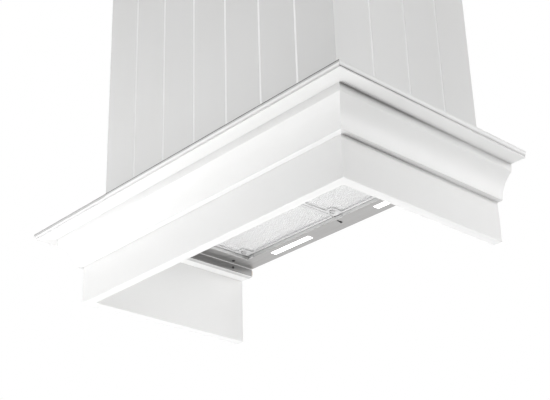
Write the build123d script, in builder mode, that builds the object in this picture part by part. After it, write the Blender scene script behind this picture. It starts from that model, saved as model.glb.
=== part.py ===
from build123d import *

import os
from math import cos, radians, sin

# Wall-mounted range hood. A painted wooden casing of apron, crown and planked chimney
# carries a steel insert with two grease filters, two light bars, a blower and a damper.
#
# Millimetres. +X is to the right seen from the front, +Y goes into the wall, +Z is up.
# The origin is the centre of the four wall screws, on the wall plane. Heights are
# written from the bottom edge of the apron and turned into Z by level().

# Driving dimensions of the casing
WIDTH = 914.0
DEPTH = 514.0
HEIGHT = 914.0
SCREW_CENTRE_HEIGHT = 575.0
APRON_THICK = 25.0
APRON_TOP = 178.5
EDGE_ROUND = 2.0

# Cove crown, as distances out from the apron's face
CROWN_BOTTOM = 98.5
CROWN_STEP = 15.5
COVE_MID = (26.0, 135.0)
COVE_END = (45.5, 157.0)
CROWN_FILLET_FOOT = (49.0, 160.0)
CROWN_OUT = 50.0
CROWN_BACK_GROOVE = 5.0
CROWN_SEAT = 15.0
CROWN_SEAT_SLOPE = 3.0

# Cap board: a bullnose edge over a quirk, the fine groove that sets off its lower lip
CAP_TOP = 197.0
CAP_OUT = 94.0
NOSE_START = 89.5
QUIRK_OUT = 90.5
QUIRK_DEEP = 2.0
QUIRK_BOTTOM = 181.5
QUIRK_TOP = 183.0

# Planked chimney
CHIMNEY_HALF = 423.0
CHIMNEY_DEPTH = 479.0
PLANK_THICK = 16.0
FRONT_PLANKS = 7
SIDE_PLANKS = 4
VEE = 3.0
TONGUE_LONG = 6.0
TONGUE_SLACK = 0.5
TONGUE_LOW = 6.0
TONGUE_HIGH = 11.0

# Frame inside the chimney
POST = 30.0
POST_CHAMFER = 8.0
RAIL_THICK = 19.0
RAIL_WIDE = 70.0
STUD_PITCH = 406.4
WALL_SCREW_SPREAD = 550.0
WALL_SCREW_RADIUS = 4.0
WALL_SCREW_HEAD_RADIUS = 8.0

# Shelf that carries the insert
SHELF_BOTTOM = 179.0
SHELF_CUT_HALF = 388.0
SHELF_CUT_DEPTH = 301.0

# Steel liner
SHEET = 1.2
LINER_HALF = 384.0
LINER_FRONT = -297.0
LINER_BACK = -5.0
LINER_FACE = 199.0
SKIRT_BOTTOM = 175.0
LIP_OUT = 14.0
BACK_FLANGE_TOP = 222.0
FILTER_OPENING_HALF = 340.0
FILTER_OPENING_FRONT = -285.0
FILTER_OPENING_BACK = -62.0
FILTER_LEDGE = 209.0
LEDGE_WIDE = 9.6
MARGIN_SCREW_X = 368.0
MARGIN_SCREW_YS = (-87.0, -210.0)
MARGIN_SCREW_RADIUS = 2.2
SKIRT_HOLE_YS = (-75.0, -225.0)
SKIRT_HOLE_HEIGHT = 187.0
SKIRT_HOLE_RADIUS = 2.6

# Grease filters
FILTER_WIDE = 337.5
FILTER_SEAM = 2.0
FILTER_FRONT = -283.5
FILTER_BACK = -63.0
FILTER_BOTTOM = 208.5
FILTER_THICK = 10.0
FILTER_SHEET = 1.0
FILTER_BORDER = 8.0
FILTER_TOP_BORDER = 6.0
CORNER_PLATE = (32.0, 42.0)
CORNER_NOTCH = (3.5, 13.0)
TAB_WIDE = 30.0
TAB_OUT = 8.5
TAB_THICK = 1.5
TAB_GAP = 0.2
TAB_INSET = 60.0

# Filter latch and its spring keeper
LATCH_INSET = 16.0
LATCH_Y = -89.0
LATCH_TRAVEL = 6.0
BOLT_WIDE = 12.0
BOLT_BOTTOM = 210.0
BOLT_THICK = 2.0
BOLT_TIP = -59.0
STEM = 6.0
KNOB_RADIUS = 7.5
KNOB_RIM = 1.6
KNOB_BAR = 2.6
KNOB_DISH = 2.0
KNOB_BOTTOM = 205.0
KNOB_TOP = 208.2
KEEPER_WIDE = 13.0
KEEPER_SHEET = 0.8
NOTCH_HALF = 8.5
NOTCH_BACK = -58.3

# Light bars
LAMP_CENTRE = 190.0
LAMP_Y = -35.5
LENS_LONG = 145.0
LENS_WIDE = 18.5
LENS_GAP = 0.3
LENS_BOTTOM = 198.6
LENS_THICK = 4.0
TRAY_LONG = 156.0
TRAY_WIDE = 26.0
TRAY_HIGH = 13.0
TRAY_CAVITY = 9.0
FIN_PITCH = 12.0
FIN_SLOT = 3.0

# Speed control
SWITCH_Y = -46.0
SLOT_LONG = 19.0
SLOT_WIDE = 5.0
SLIDER_WIDE = 4.0
SLIDER_LONG = 6.0
SLIDER_TRAVEL = 10.0
SLIDER_GAP = 0.25
SLIDER_PROUD = 2.0
SLIDER_INSIDE = 7.0
SWITCH_RELIEF = 1.5
SWITCH_WIDE = 15.0
SWITCH_BACK = -26.0
SWITCH_HIGH = 18.0

# Plenum box
PLENUM_HALF = 382.0
PLENUM_TOP = 262.0
PLENUM_SHEET = 1.0
PLENUM_FLANGE = 28.0
INLET_RADIUS = 78.0
INLET_RING_HIGH = 9.0

# Blower: vertical axis, the volute opens to the right into the discharge box
BLOWER_X = -210.0
BLOWER_Y = -150.0
VOLUTE_RADIUS = 105.0
VOLUTE_GROWTH = 10.0
VOLUTE_START_ANGLE = -35.0
BLOWER_TOP = 373.0
MOUTH_X = -80.0
MOUTH_INNER_Y = -180.0
MOUTH_NECK = 20.0
WHEEL_RADIUS = 95.0
WHEEL_INNER = 76.0
WHEEL_BOTTOM = 276.0
WHEEL_TOP = 356.0
BLADES = 30
BLADE_THICK = 1.2
BLADE_BELLY = 1.0
BLADE_LEAN = 5.5
BACK_PLATE = 2.0
FRONT_RING_WIDE = 13.0
SHAFT_RADIUS = 4.0
SHAFT_TOP = 430.0
RUNNING_GAP = 0.05
HUB_GAP = 0.02
HUB_RADIUS = 12.0
HUB_BOTTOM = 330.0
HUB_LONG = 14.5
DISH_THICK = 2.5
DISH_RADIUS = 60.0
MOTOR_RADIUS = 48.0
MOTOR_TOP = 438.0
MOTOR_HOLE_RADIUS = 20.0
MOTOR_SCREW_RING = 58.0
MOTOR_LUG_RADIUS = 8.0
MOTOR_LUG_THICK = 3.0
MOTOR_BEVEL = 5.0
MOTOR_RIBS = 10
MOTOR_RIB = 2.0
RIB_FOOT = 14.0
RIB_HEAD = 12.0
SHAFT_END_GAP = 1.0
SHAFT_BEVEL = 0.6

# Discharge box, collar and damper
BOX_HALF = 80.0
BOX_CENTRE_Y = -215.0
COLLAR_RADIUS = 75.0
COLLAR_WALL = 1.0
COLLAR_TOP = 463.0
COLLAR_FLANGE = 154.0
COLLAR_SCREW_RING = 92.0
SPINDLE_HEIGHT = 388.0
SPINDLE_RADIUS = 2.0
SPINDLE_HALF = 74.6
FLAP_RADIUS = 72.5
FLAP_THICK = 1.0
FLAP_EDGE = 4.2
KNUCKLE_RADIUS = 3.6
KNUCKLE_WEB = 2.6
STOP_RADIUS = 69.5
STOP_TOP = 386.9

# Wiring box
WIRING_X = 220.0
WIRING_Y = -90.0
WIRING_SIZE = (110.0, 80.0, 45.0)
CABLE_HOLE_RADIUS = 11.0
LID_OVERHANG = 2.0

# Screws
SCREW_SHANK = 2.0
SCREW_HEAD = 4.2
SCREW_HEAD_THICK = 2.2
LINER_SCREW_LONG = 7.0
BLOWER_SCREW_LONG = 6.0


def level(height):
    return height - SCREW_CENTRE_HEIGHT


def finish(builder, name):
    builder.part.label = name
    export_step(builder.part, f"parts/{name}.step")


os.makedirs("parts", exist_ok=True)

half = WIDTH / 2
inner = half - APRON_THICK
plank_inside = CHIMNEY_HALF - PLANK_THICK

# The front corner mitres are vertical planes at 45 degrees through the apron's corners
right_mitre = Plane(origin=(half, -DEPTH, 0), z_dir=(1, 1, 0))
left_mitre = Plane(origin=(-half, -DEPTH, 0), z_dir=(-1, 1, 0))


# Apron boards
with BuildPart() as apron_front:
    with BuildSketch(Plane.XY.offset(level(0))):
        with BuildLine():
            Polyline((-half, -DEPTH), (half, -DEPTH), (inner, APRON_THICK - DEPTH),
                     (-inner, APRON_THICK - DEPTH), close=True)
        make_face()
    extrude(amount=APRON_TOP)
    lower_edges = apron_front.edges().group_by(Axis.Z)[0].filter_by(Axis.X)
    fillet(lower_edges, radius=EDGE_ROUND)
finish(apron_front, "apron_front")

with BuildPart() as apron_right:
    with BuildSketch(Plane.XY.offset(level(0))):
        with BuildLine():
            Polyline((half, -DEPTH), (half, 0), (inner, 0), (inner, APRON_THICK - DEPTH), close=True)
        make_face()
    extrude(amount=APRON_TOP)
    lower_edges = apron_right.edges().group_by(Axis.Z)[0].filter_by(Axis.Y)
    fillet(lower_edges, radius=EDGE_ROUND)
finish(apron_right, "apron_right")

with BuildPart() as apron_left:
    mirror(apron_right.part, about=Plane.YZ)
finish(apron_left, "apron_left")


# Crown moulding and cap board, each one profile run along the front and along the sides.
# A profile is drawn with its first coordinate as the distance out from the apron's face.
def crown_profile():
    groove_edge = CROWN_SEAT + CROWN_SEAT_SLOPE
    with BuildSketch(mode=Mode.PRIVATE) as sketch:
        with BuildLine():
            Polyline((CROWN_STEP, CROWN_BOTTOM + EDGE_ROUND), (CROWN_STEP, CROWN_BOTTOM), (0, CROWN_BOTTOM),
                     (0, CROWN_BOTTOM + CROWN_SEAT), (CROWN_BACK_GROOVE, CROWN_BOTTOM + groove_edge),
                     (CROWN_BACK_GROOVE, APRON_TOP - groove_edge), (0, APRON_TOP - CROWN_SEAT),
                     (0, APRON_TOP), (CROWN_OUT, APRON_TOP), CROWN_FILLET_FOOT, COVE_END)
            ThreePointArc(COVE_END, COVE_MID, (CROWN_STEP, CROWN_BOTTOM + EDGE_ROUND))
        make_face()
    return sketch.sketch


def cap_profile():
    groove = QUIRK_OUT - QUIRK_DEEP
    with BuildSketch(mode=Mode.PRIVATE) as sketch:
        with BuildLine():
            Polyline((NOSE_START, CAP_TOP), (-APRON_THICK, CAP_TOP), (-APRON_THICK, APRON_TOP),
                     (QUIRK_OUT, APRON_TOP), (QUIRK_OUT, QUIRK_BOTTOM), (groove, QUIRK_BOTTOM),
                     (groove, QUIRK_TOP), (NOSE_START, QUIRK_TOP))
            ThreePointArc((NOSE_START, QUIRK_TOP), (CAP_OUT, (QUIRK_TOP + CAP_TOP) / 2),
                          (NOSE_START, CAP_TOP))
        make_face()
    return sketch.sketch


# The drawing plane of the front run looks along -X, so that its own X axis points to the room
run_over = CAP_OUT + 10
front_run = Plane(origin=(half + run_over, -DEPTH, level(0)), x_dir=(0, -1, 0), z_dir=(-1, 0, 0))
side_run = Plane(origin=(half, 0, level(0)), x_dir=(1, 0, 0), z_dir=(0, -1, 0))


def front_moulding(profile, name):
    with BuildPart() as moulding:
        with BuildSketch(front_run):
            add(profile)
        extrude(amount=WIDTH + 2 * run_over)
        split(bisect_by=right_mitre, keep=Keep.BOTTOM)
        split(bisect_by=left_mitre, keep=Keep.BOTTOM)
    finish(moulding, name)


def side_mouldings(profile, name):
    with BuildPart() as right_run:
        with BuildSketch(side_run):
            add(profile)
        extrude(amount=DEPTH + run_over)
        split(bisect_by=right_mitre, keep=Keep.TOP)
    finish(right_run, name + "_right")
    with BuildPart() as left_run:
        mirror(right_run.part, about=Plane.YZ)
    finish(left_run, name + "_left")


front_moulding(crown_profile(), "crown_front")
side_mouldings(crown_profile(), "crown")
front_moulding(cap_profile(), "cap_front")
side_mouldings(cap_profile(), "cap")


# Chimney planks. An outline is drawn along the wall of planks (s) and into the wood (t):
# a plank has a groove on its first edge and a tongue on its second, or a mitre at a
# front corner, or a square edge at the wall.
def first_edge(s, kind):
    if kind == "groove":
        deep = s + TONGUE_LONG + TONGUE_SLACK
        return [(s, PLANK_THICK), (s, TONGUE_HIGH), (deep, TONGUE_HIGH), (deep, TONGUE_LOW),
                (s, TONGUE_LOW), (s, VEE), (s + VEE, 0)]
    return [(s + PLANK_THICK, PLANK_THICK), (s, 0)]


def second_edge(s, kind):
    if kind == "tongue":
        out = s + TONGUE_LONG
        return [(s - VEE, 0), (s, VEE), (s, TONGUE_LOW), (out, TONGUE_LOW), (out, TONGUE_HIGH),
                (s, TONGUE_HIGH), (s, PLANK_THICK)]
    if kind == "mitre":
        return [(s, 0), (s - PLANK_THICK, PLANK_THICK)]
    return [(s, 0), (s, PLANK_THICK)]


def plank(outline, name):
    with BuildPart() as board:
        with BuildSketch(Plane.XY.offset(level(CAP_TOP))):
            with BuildLine():
                Polyline(*outline, close=True)
            make_face()
        extrude(amount=HEIGHT - CAP_TOP)
    finish(board, name)


pitch = 2 * CHIMNEY_HALF / FRONT_PLANKS
for i in range(FRONT_PLANKS):
    start = -CHIMNEY_HALF + i * pitch
    edge_a = first_edge(start, "mitre" if i == 0 else "groove")
    edge_b = second_edge(start + pitch, "mitre" if i == FRONT_PLANKS - 1 else "tongue")
    plank([(s, t - CHIMNEY_DEPTH) for s, t in edge_a + edge_b], f"front_board_{i + 1}")

# The last plank on each side is sawn narrower, where it meets the wall
for i in range(SIDE_PLANKS):
    start = -CHIMNEY_DEPTH + i * pitch
    last = i == SIDE_PLANKS - 1
    edge_a = first_edge(start, "mitre" if i == 0 else "groove")
    edge_b = second_edge(0 if last else start + pitch, "square" if last else "tongue")
    plank([(CHIMNEY_HALF - t, s) for s, t in edge_a + edge_b], f"right_board_{i + 1}")
    plank([(t - CHIMNEY_HALF, s) for s, t in edge_a + edge_b], f"left_board_{i + 1}")


# Frame inside the chimney
post_front = PLANK_THICK - CHIMNEY_DEPTH

with BuildPart() as corner_post_right:
    with BuildSketch(Plane.XY.offset(level(CAP_TOP))):
        with Locations((plank_inside - POST / 2, post_front + POST / 2)):
            Rectangle(POST, POST)
    extrude(amount=HEIGHT - CAP_TOP)
    upright_edges = corner_post_right.edges().filter_by(Axis.Z)
    hidden_edge = upright_edges.sort_by(lambda e: e.center().Y - e.center().X)[-1]
    chamfer(hidden_edge, length=POST_CHAMFER)
finish(corner_post_right, "corner_post_right")

with BuildPart() as corner_post_left:
    mirror(corner_post_right.part, about=Plane.YZ)
finish(corner_post_left, "corner_post_left")


def rail(low_corner, high_corner, name):
    """A plain board between two corners, given as x, y and height."""
    (x0, y0, h0), (x1, y1, h1) = low_corner, high_corner
    with BuildPart() as board:
        with BuildSketch(Plane.XY.offset(level(h0))):
            with Locations(((x0 + x1) / 2, (y0 + y1) / 2)):
                Rectangle(x1 - x0, y1 - y0)
        extrude(amount=h1 - h0)
    finish(board, name)


rail_low = HEIGHT - RAIL_WIDE
post_inside = plank_inside - POST
rail((-post_inside, post_front, rail_low), (post_inside, post_front + RAIL_THICK, HEIGHT), "top_rail_front")
rail((plank_inside - RAIL_THICK, post_front + POST, rail_low), (plank_inside, -RAIL_THICK, HEIGHT),
     "top_rail_right")
rail((-plank_inside, post_front + POST, rail_low), (RAIL_THICK - plank_inside, -RAIL_THICK, HEIGHT),
     "top_rail_left")


# The wall rails hang the hood: two screws in each, countersunk from the room side
def wall_rail(z, name):
    with BuildPart() as board:
        with BuildSketch(Plane.XZ):
            with Locations((0, z)):
                Rectangle(2 * plank_inside, RAIL_WIDE)
        extrude(amount=RAIL_THICK)
        with Locations(Plane(origin=(0, -RAIL_THICK, z), x_dir=(1, 0, 0), z_dir=(0, -1, 0))):
            with GridLocations(STUD_PITCH, 0, 2, 1):
                CounterSinkHole(radius=WALL_SCREW_RADIUS, counter_sink_radius=WALL_SCREW_HEAD_RADIUS)
    finish(board, name)


wall_rail(WALL_SCREW_SPREAD / 2, "wall_rail_upper")
wall_rail(-WALL_SCREW_SPREAD / 2, "wall_rail_lower")


# Shelf, open at the wall side where the insert reaches back
with BuildPart() as insert_shelf:
    with BuildSketch(Plane.XY.offset(level(SHELF_BOTTOM))):
        with Locations((0, (APRON_THICK - DEPTH) / 2)):
            Rectangle(2 * inner, DEPTH - APRON_THICK)
        with Locations((0, -SHELF_CUT_DEPTH / 2)):
            Rectangle(2 * SHELF_CUT_HALF, SHELF_CUT_DEPTH, mode=Mode.SUBTRACT)
    extrude(amount=CAP_TOP - SHELF_BOTTOM)
finish(insert_shelf, "insert_shelf")


# Steel insert. box_sketch draws a rectangle between two corners of the plan.
def box_sketch(x0, y0, x1, y1, mode=Mode.ADD):
    with Locations(((x0 + x1) / 2, (y0 + y1) / 2)):
        Rectangle(x1 - x0, y1 - y0, mode=mode)


opening = (-FILTER_OPENING_HALF, FILTER_OPENING_FRONT, FILTER_OPENING_HALF, FILTER_OPENING_BACK)
filter_lefts = {"left": -FILTER_SEAM / 2 - FILTER_WIDE, "right": FILTER_SEAM / 2}
latch_x = {side: x + LATCH_INSET for side, x in filter_lefts.items()}
switch_front = SWITCH_Y - SLOT_LONG / 2 - 1


def ring(grow, face=opening):
    """The opening's outline, grown by a distance, with the opening cut out of it."""
    x0, y0, x1, y1 = face
    box_sketch(x0 - grow, y0 - grow, x1 + grow, y1 + grow)
    box_sketch(x0, y0, x1, y1, mode=Mode.SUBTRACT)


def skirt_band(near, far):
    """A band on the liner's left, front and right, between two distances out from it."""
    box_sketch(-LINER_HALF - far, LINER_FRONT - far, LINER_HALF + far, LINER_BACK)
    box_sketch(-LINER_HALF - near, LINER_FRONT - near, LINER_HALF + near, LINER_BACK,
               mode=Mode.SUBTRACT)


with BuildPart() as liner:
    # Face with the light strip along the wall
    with BuildSketch(Plane.XY.offset(level(LINER_FACE))):
        box_sketch(-LINER_HALF, LINER_FRONT, LINER_HALF, LINER_BACK)
        box_sketch(*opening, mode=Mode.SUBTRACT)
        with Locations((-LAMP_CENTRE, LAMP_Y), (LAMP_CENTRE, LAMP_Y)):
            Rectangle(LENS_LONG + 2 * LENS_GAP, LENS_WIDE + 2 * LENS_GAP, mode=Mode.SUBTRACT)
        with Locations((0, SWITCH_Y)):
            Rectangle(SLOT_WIDE, SLOT_LONG, mode=Mode.SUBTRACT)
    extrude(amount=SHEET)
    # Step up to the filters and the ledge that their tabs rest on
    with BuildSketch(Plane.XY.offset(level(LINER_FACE))):
        ring(SHEET)
    extrude(amount=FILTER_LEDGE - LINER_FACE)
    with BuildSketch(Plane.XY.offset(level(FILTER_LEDGE))):
        ring(LEDGE_WIDE)
    extrude(amount=-SHEET)
    # Skirt on three sides, and its lip, folded over so that it bears on the shelf
    with BuildSketch(Plane.XY.offset(level(SKIRT_BOTTOM))):
        skirt_band(0, SHEET)
    extrude(amount=LINER_FACE + SHEET - SKIRT_BOTTOM)
    with BuildSketch(Plane.XY.offset(level(SKIRT_BOTTOM))):
        skirt_band(0, LIP_OUT)
    extrude(amount=SHELF_BOTTOM - SKIRT_BOTTOM)
    with BuildSketch(Plane.XY.offset(level(SKIRT_BOTTOM + SHEET))):
        skirt_band(SHEET, LIP_OUT - SHEET)
    extrude(amount=SHELF_BOTTOM - SKIRT_BOTTOM - 2 * SHEET, mode=Mode.SUBTRACT)
    # Back flange against the wall
    with BuildSketch(Plane.XY.offset(level(LINER_FACE))):
        box_sketch(-LINER_HALF, LINER_BACK - SHEET, LINER_HALF, LINER_BACK)
    extrude(amount=BACK_FLANGE_TOP - LINER_FACE)
    # Notches in the step where the latch bolts pass
    with BuildSketch(Plane.XY.offset(level(LINER_FACE))):
        for x in latch_x.values():
            box_sketch(x - NOTCH_HALF, FILTER_OPENING_BACK - 1, x + NOTCH_HALF, NOTCH_BACK)
    extrude(amount=SHEET, mode=Mode.SUBTRACT)
    with BuildSketch(Plane.XY.offset(level(LINER_FACE + SHEET))):
        for x in latch_x.values():
            box_sketch(x - NOTCH_HALF, FILTER_OPENING_BACK - 1, x + NOTCH_HALF,
                       FILTER_OPENING_BACK + LEDGE_WIDE)
    extrude(amount=FILTER_LEDGE - LINER_FACE, mode=Mode.SUBTRACT)
    # Relief in the ledge for the body of the speed control
    with BuildSketch(Plane.XY.offset(level(FILTER_LEDGE))):
        box_sketch(-SWITCH_WIDE / 2 - SWITCH_RELIEF, switch_front - SWITCH_RELIEF,
                   SWITCH_WIDE / 2 + SWITCH_RELIEF, FILTER_OPENING_BACK + LEDGE_WIDE)
    extrude(amount=-SHEET, mode=Mode.SUBTRACT)
    # Screw holes in the margins, and the holes in the skirts for the screws into the shelf
    with BuildSketch(Plane.XY.offset(level(LINER_FACE))):
        with Locations(*[(side * MARGIN_SCREW_X, y) for side in (-1, 1) for y in MARGIN_SCREW_YS]):
            Circle(MARGIN_SCREW_RADIUS)
    extrude(amount=SHEET, mode=Mode.SUBTRACT)
    with BuildSketch(Plane.YZ.offset(-LINER_HALF - SHEET)):
        with Locations(*[(y, level(SKIRT_HOLE_HEIGHT)) for y in SKIRT_HOLE_YS]):
            Circle(SKIRT_HOLE_RADIUS)
    extrude(amount=2 * (LINER_HALF + SHEET), mode=Mode.SUBTRACT)
finish(liner, "liner")


# Filters. Both are alike and lie side by side; the latch is in the back left corner.
def filter_frame(x0, side):
    x1 = x0 + FILTER_WIDE
    with BuildPart() as frame:
        with BuildSketch(Plane.XY.offset(level(FILTER_BOTTOM))):
            box_sketch(x0, FILTER_FRONT, x1, FILTER_BACK)
        extrude(amount=FILTER_THICK)
        # Hollow channel with a wide lip below and a narrow one above
        with BuildSketch(Plane.XY.offset(level(FILTER_BOTTOM + FILTER_SHEET))):
            box_sketch(x0 + FILTER_SHEET, FILTER_FRONT + FILTER_SHEET, x1 - FILTER_SHEET,
                       FILTER_BACK - FILTER_SHEET)
        extrude(amount=FILTER_THICK - 2 * FILTER_SHEET, mode=Mode.SUBTRACT)
        with BuildSketch(Plane.XY.offset(level(FILTER_BOTTOM))):
            box_sketch(x0 + FILTER_BORDER, FILTER_FRONT + FILTER_BORDER, x1 - FILTER_BORDER,
                       FILTER_BACK - FILTER_BORDER)
        extrude(amount=FILTER_SHEET, mode=Mode.SUBTRACT)
        with BuildSketch(Plane.XY.offset(level(FILTER_BOTTOM + FILTER_THICK - FILTER_SHEET))):
            box_sketch(x0 + FILTER_TOP_BORDER, FILTER_FRONT + FILTER_TOP_BORDER, x1 - FILTER_TOP_BORDER,
                       FILTER_BACK - FILTER_TOP_BORDER)
        extrude(amount=FILTER_SHEET, mode=Mode.SUBTRACT)
        # Corner plate under the latch
        with BuildSketch(Plane.XY.offset(level(FILTER_BOTTOM))):
            box_sketch(x0, FILTER_BACK - CORNER_PLATE[1], x0 + CORNER_PLATE[0], FILTER_BACK)
        extrude(amount=FILTER_SHEET)
        # Relief at the two back corners
        with BuildSketch(Plane.XY.offset(level(FILTER_BOTTOM))):
            box_sketch(x0, FILTER_BACK - CORNER_NOTCH[1], x0 + CORNER_NOTCH[0], FILTER_BACK)
            box_sketch(x1 - CORNER_NOTCH[0], FILTER_BACK - CORNER_NOTCH[1], x1, FILTER_BACK)
        extrude(amount=FILTER_SHEET, mode=Mode.SUBTRACT)
        # Slot for the latch stem, and the bolt's way out through the back wall
        with BuildSketch(Plane.XY.offset(level(FILTER_BOTTOM))):
            box_sketch(x0 + LATCH_INSET - STEM / 2 - 0.3, LATCH_Y - STEM / 2 - LATCH_TRAVEL - 0.3,
                       x0 + LATCH_INSET + STEM / 2 + 0.3, LATCH_Y + STEM / 2 + 0.3)
        extrude(amount=FILTER_SHEET, mode=Mode.SUBTRACT)
        with BuildSketch(Plane.XY.offset(level(BOLT_BOTTOM - 0.3))):
            box_sketch(x0 + LATCH_INSET - BOLT_WIDE / 2 - 0.4, FILTER_BACK - 2 * FILTER_SHEET,
                       x0 + LATCH_INSET + BOLT_WIDE / 2 + 0.4, FILTER_BACK)
        extrude(amount=BOLT_THICK + 0.6, mode=Mode.SUBTRACT)
        # Two tabs on the front wall that rest on the liner's ledge
        with BuildSketch(Plane.XY.offset(level(FILTER_LEDGE + TAB_GAP))):
            for x in (x0 + TAB_INSET, x1 - TAB_INSET):
                box_sketch(x - TAB_WIDE / 2, FILTER_FRONT - TAB_OUT, x + TAB_WIDE / 2,
                           FILTER_FRONT + FILTER_SHEET)
        extrude(amount=TAB_THICK)
    finish(frame, "filter_frame_" + side)


def filter_mesh(x0, side):
    x1 = x0 + FILTER_WIDE
    with BuildPart() as mesh:
        with BuildSketch(Plane.XY.offset(level(FILTER_BOTTOM + FILTER_SHEET))):
            box_sketch(x0 + FILTER_SHEET, FILTER_FRONT + FILTER_SHEET, x1 - FILTER_SHEET,
                       FILTER_BACK - FILTER_SHEET)
            box_sketch(x0 + FILTER_SHEET, FILTER_BACK - CORNER_PLATE[1], x0 + CORNER_PLATE[0], FILTER_BACK,
                       mode=Mode.SUBTRACT)
        extrude(amount=FILTER_THICK - 2 * FILTER_SHEET)
    finish(mesh, "filter_mesh_" + side)


def filter_latch(x, side):
    with BuildPart() as latch:
        # Bolt
        with BuildSketch(Plane.XY.offset(level(BOLT_BOTTOM))):
            box_sketch(x - BOLT_WIDE / 2, LATCH_Y - STEM, x + BOLT_WIDE / 2, BOLT_TIP)
        extrude(amount=BOLT_THICK)
        nose = latch.edges().group_by(Axis.Y)[-1].filter_by(Axis.X).sort_by(Axis.Z)[-1]
        chamfer(nose, length=BOLT_THICK * 0.6)
        # Stem down to the knob
        with BuildSketch(Plane.XY.offset(level(KNOB_TOP))):
            box_sketch(x - STEM / 2, LATCH_Y - STEM / 2, x + STEM / 2, LATCH_Y + STEM / 2)
        extrude(amount=BOLT_BOTTOM - KNOB_TOP)
        # Round knob with a raised rim and a finger bar across it
        with BuildSketch(Plane.XY.offset(level(KNOB_BOTTOM))):
            with Locations((x, LATCH_Y)):
                Circle(KNOB_RADIUS)
        extrude(amount=KNOB_TOP - KNOB_BOTTOM)
        with BuildSketch(Plane.XY.offset(level(KNOB_BOTTOM))):
            with Locations((x, LATCH_Y)):
                Circle(KNOB_RADIUS - KNOB_RIM)
                Rectangle(2 * KNOB_RADIUS, KNOB_BAR, mode=Mode.SUBTRACT)
        extrude(amount=KNOB_DISH, mode=Mode.SUBTRACT)
    finish(latch, "filter_latch_" + side)


# The keeper is a strip of spring steel: a foot on the liner, a riser, and a nose under the bolt
def latch_keeper(x, side):
    foot = LINER_FACE + SHEET + KEEPER_SHEET / 2
    nose = BOLT_BOTTOM - 0.3 - KEEPER_SHEET / 2
    with BuildPart() as keeper:
        with BuildSketch(Plane.YZ.offset(x - KEEPER_WIDE / 2)):
            with BuildLine():
                FilletPolyline((-36, level(foot)), (-52.5, level(foot)), (-51, level(nose)),
                               (-61, level(nose)), (-62.2, level(nose - 2.5)), radius=0.8)
            trace(line_width=KEEPER_SHEET)
        extrude(amount=KEEPER_WIDE)
    finish(keeper, "latch_keeper_" + side)


for side, x0 in filter_lefts.items():
    filter_frame(x0, side)
    filter_mesh(x0, side)
    filter_latch(latch_x[side], side)
    latch_keeper(latch_x[side], side)


# Light bars: a clear lens flush with the strip, in an aluminium tray with cooling slots
def light_bar(x, side):
    with BuildPart() as lens:
        with BuildSketch(Plane.XY.offset(level(LENS_BOTTOM))):
            with Locations((x, LAMP_Y)):
                Rectangle(LENS_LONG, LENS_WIDE)
        extrude(amount=LENS_THICK)
    finish(lens, "light_lens_" + side)
    with BuildPart() as tray:
        with BuildSketch(Plane.XY.offset(level(LINER_FACE + SHEET))):
            with Locations((x, LAMP_Y)):
                Rectangle(TRAY_LONG, TRAY_WIDE)
        extrude(amount=TRAY_HIGH)
        with BuildSketch(Plane.XY.offset(level(LINER_FACE + SHEET))):
            with Locations((x, LAMP_Y)):
                Rectangle(LENS_LONG + 2 * LENS_GAP, LENS_WIDE + 2 * LENS_GAP)
        extrude(amount=TRAY_CAVITY, mode=Mode.SUBTRACT)
        with BuildSketch(Plane.XY.offset(level(LINER_FACE + SHEET + TRAY_HIGH))):
            with Locations((x, LAMP_Y)):
                with GridLocations(FIN_PITCH, 0, int(TRAY_LONG / FIN_PITCH), 1):
                    Rectangle(FIN_SLOT, TRAY_WIDE)
        extrude(amount=-FIN_SLOT, mode=Mode.SUBTRACT)
    finish(tray, "lamp_tray_" + side)


light_bar(-LAMP_CENTRE, "left")
light_bar(LAMP_CENTRE, "right")


# Speed control: a slider in the recess of the switch body, off at the wall end
recess_long = SLIDER_LONG + SLIDER_TRAVEL + 2 * SLIDER_GAP
slider_y = SWITCH_Y + SLIDER_TRAVEL / 2

with BuildPart() as switch_body:
    with BuildSketch(Plane.XY.offset(level(LINER_FACE + SHEET))):
        box_sketch(-SWITCH_WIDE / 2, switch_front, SWITCH_WIDE / 2, SWITCH_BACK)
    extrude(amount=SWITCH_HIGH)
    with BuildSketch(Plane.XY.offset(level(LINER_FACE))):
        with Locations((0, SWITCH_Y)):
            Rectangle(SLIDER_WIDE + 2 * SLIDER_GAP, recess_long)
    extrude(amount=SLIDER_INSIDE + SLIDER_GAP, mode=Mode.SUBTRACT)
finish(switch_body, "switch_body")

with BuildPart() as speed_slider:
    with BuildSketch(Plane.XY.offset(level(LINER_FACE - SLIDER_PROUD))):
        with Locations((0, slider_y)):
            Rectangle(SLIDER_WIDE, SLIDER_LONG)
    extrude(amount=SLIDER_PROUD + SLIDER_INSIDE)
    fillet(speed_slider.edges().group_by(Axis.Z)[0].filter_by(Axis.X), radius=0.8)
finish(speed_slider, "speed_slider")


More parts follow.
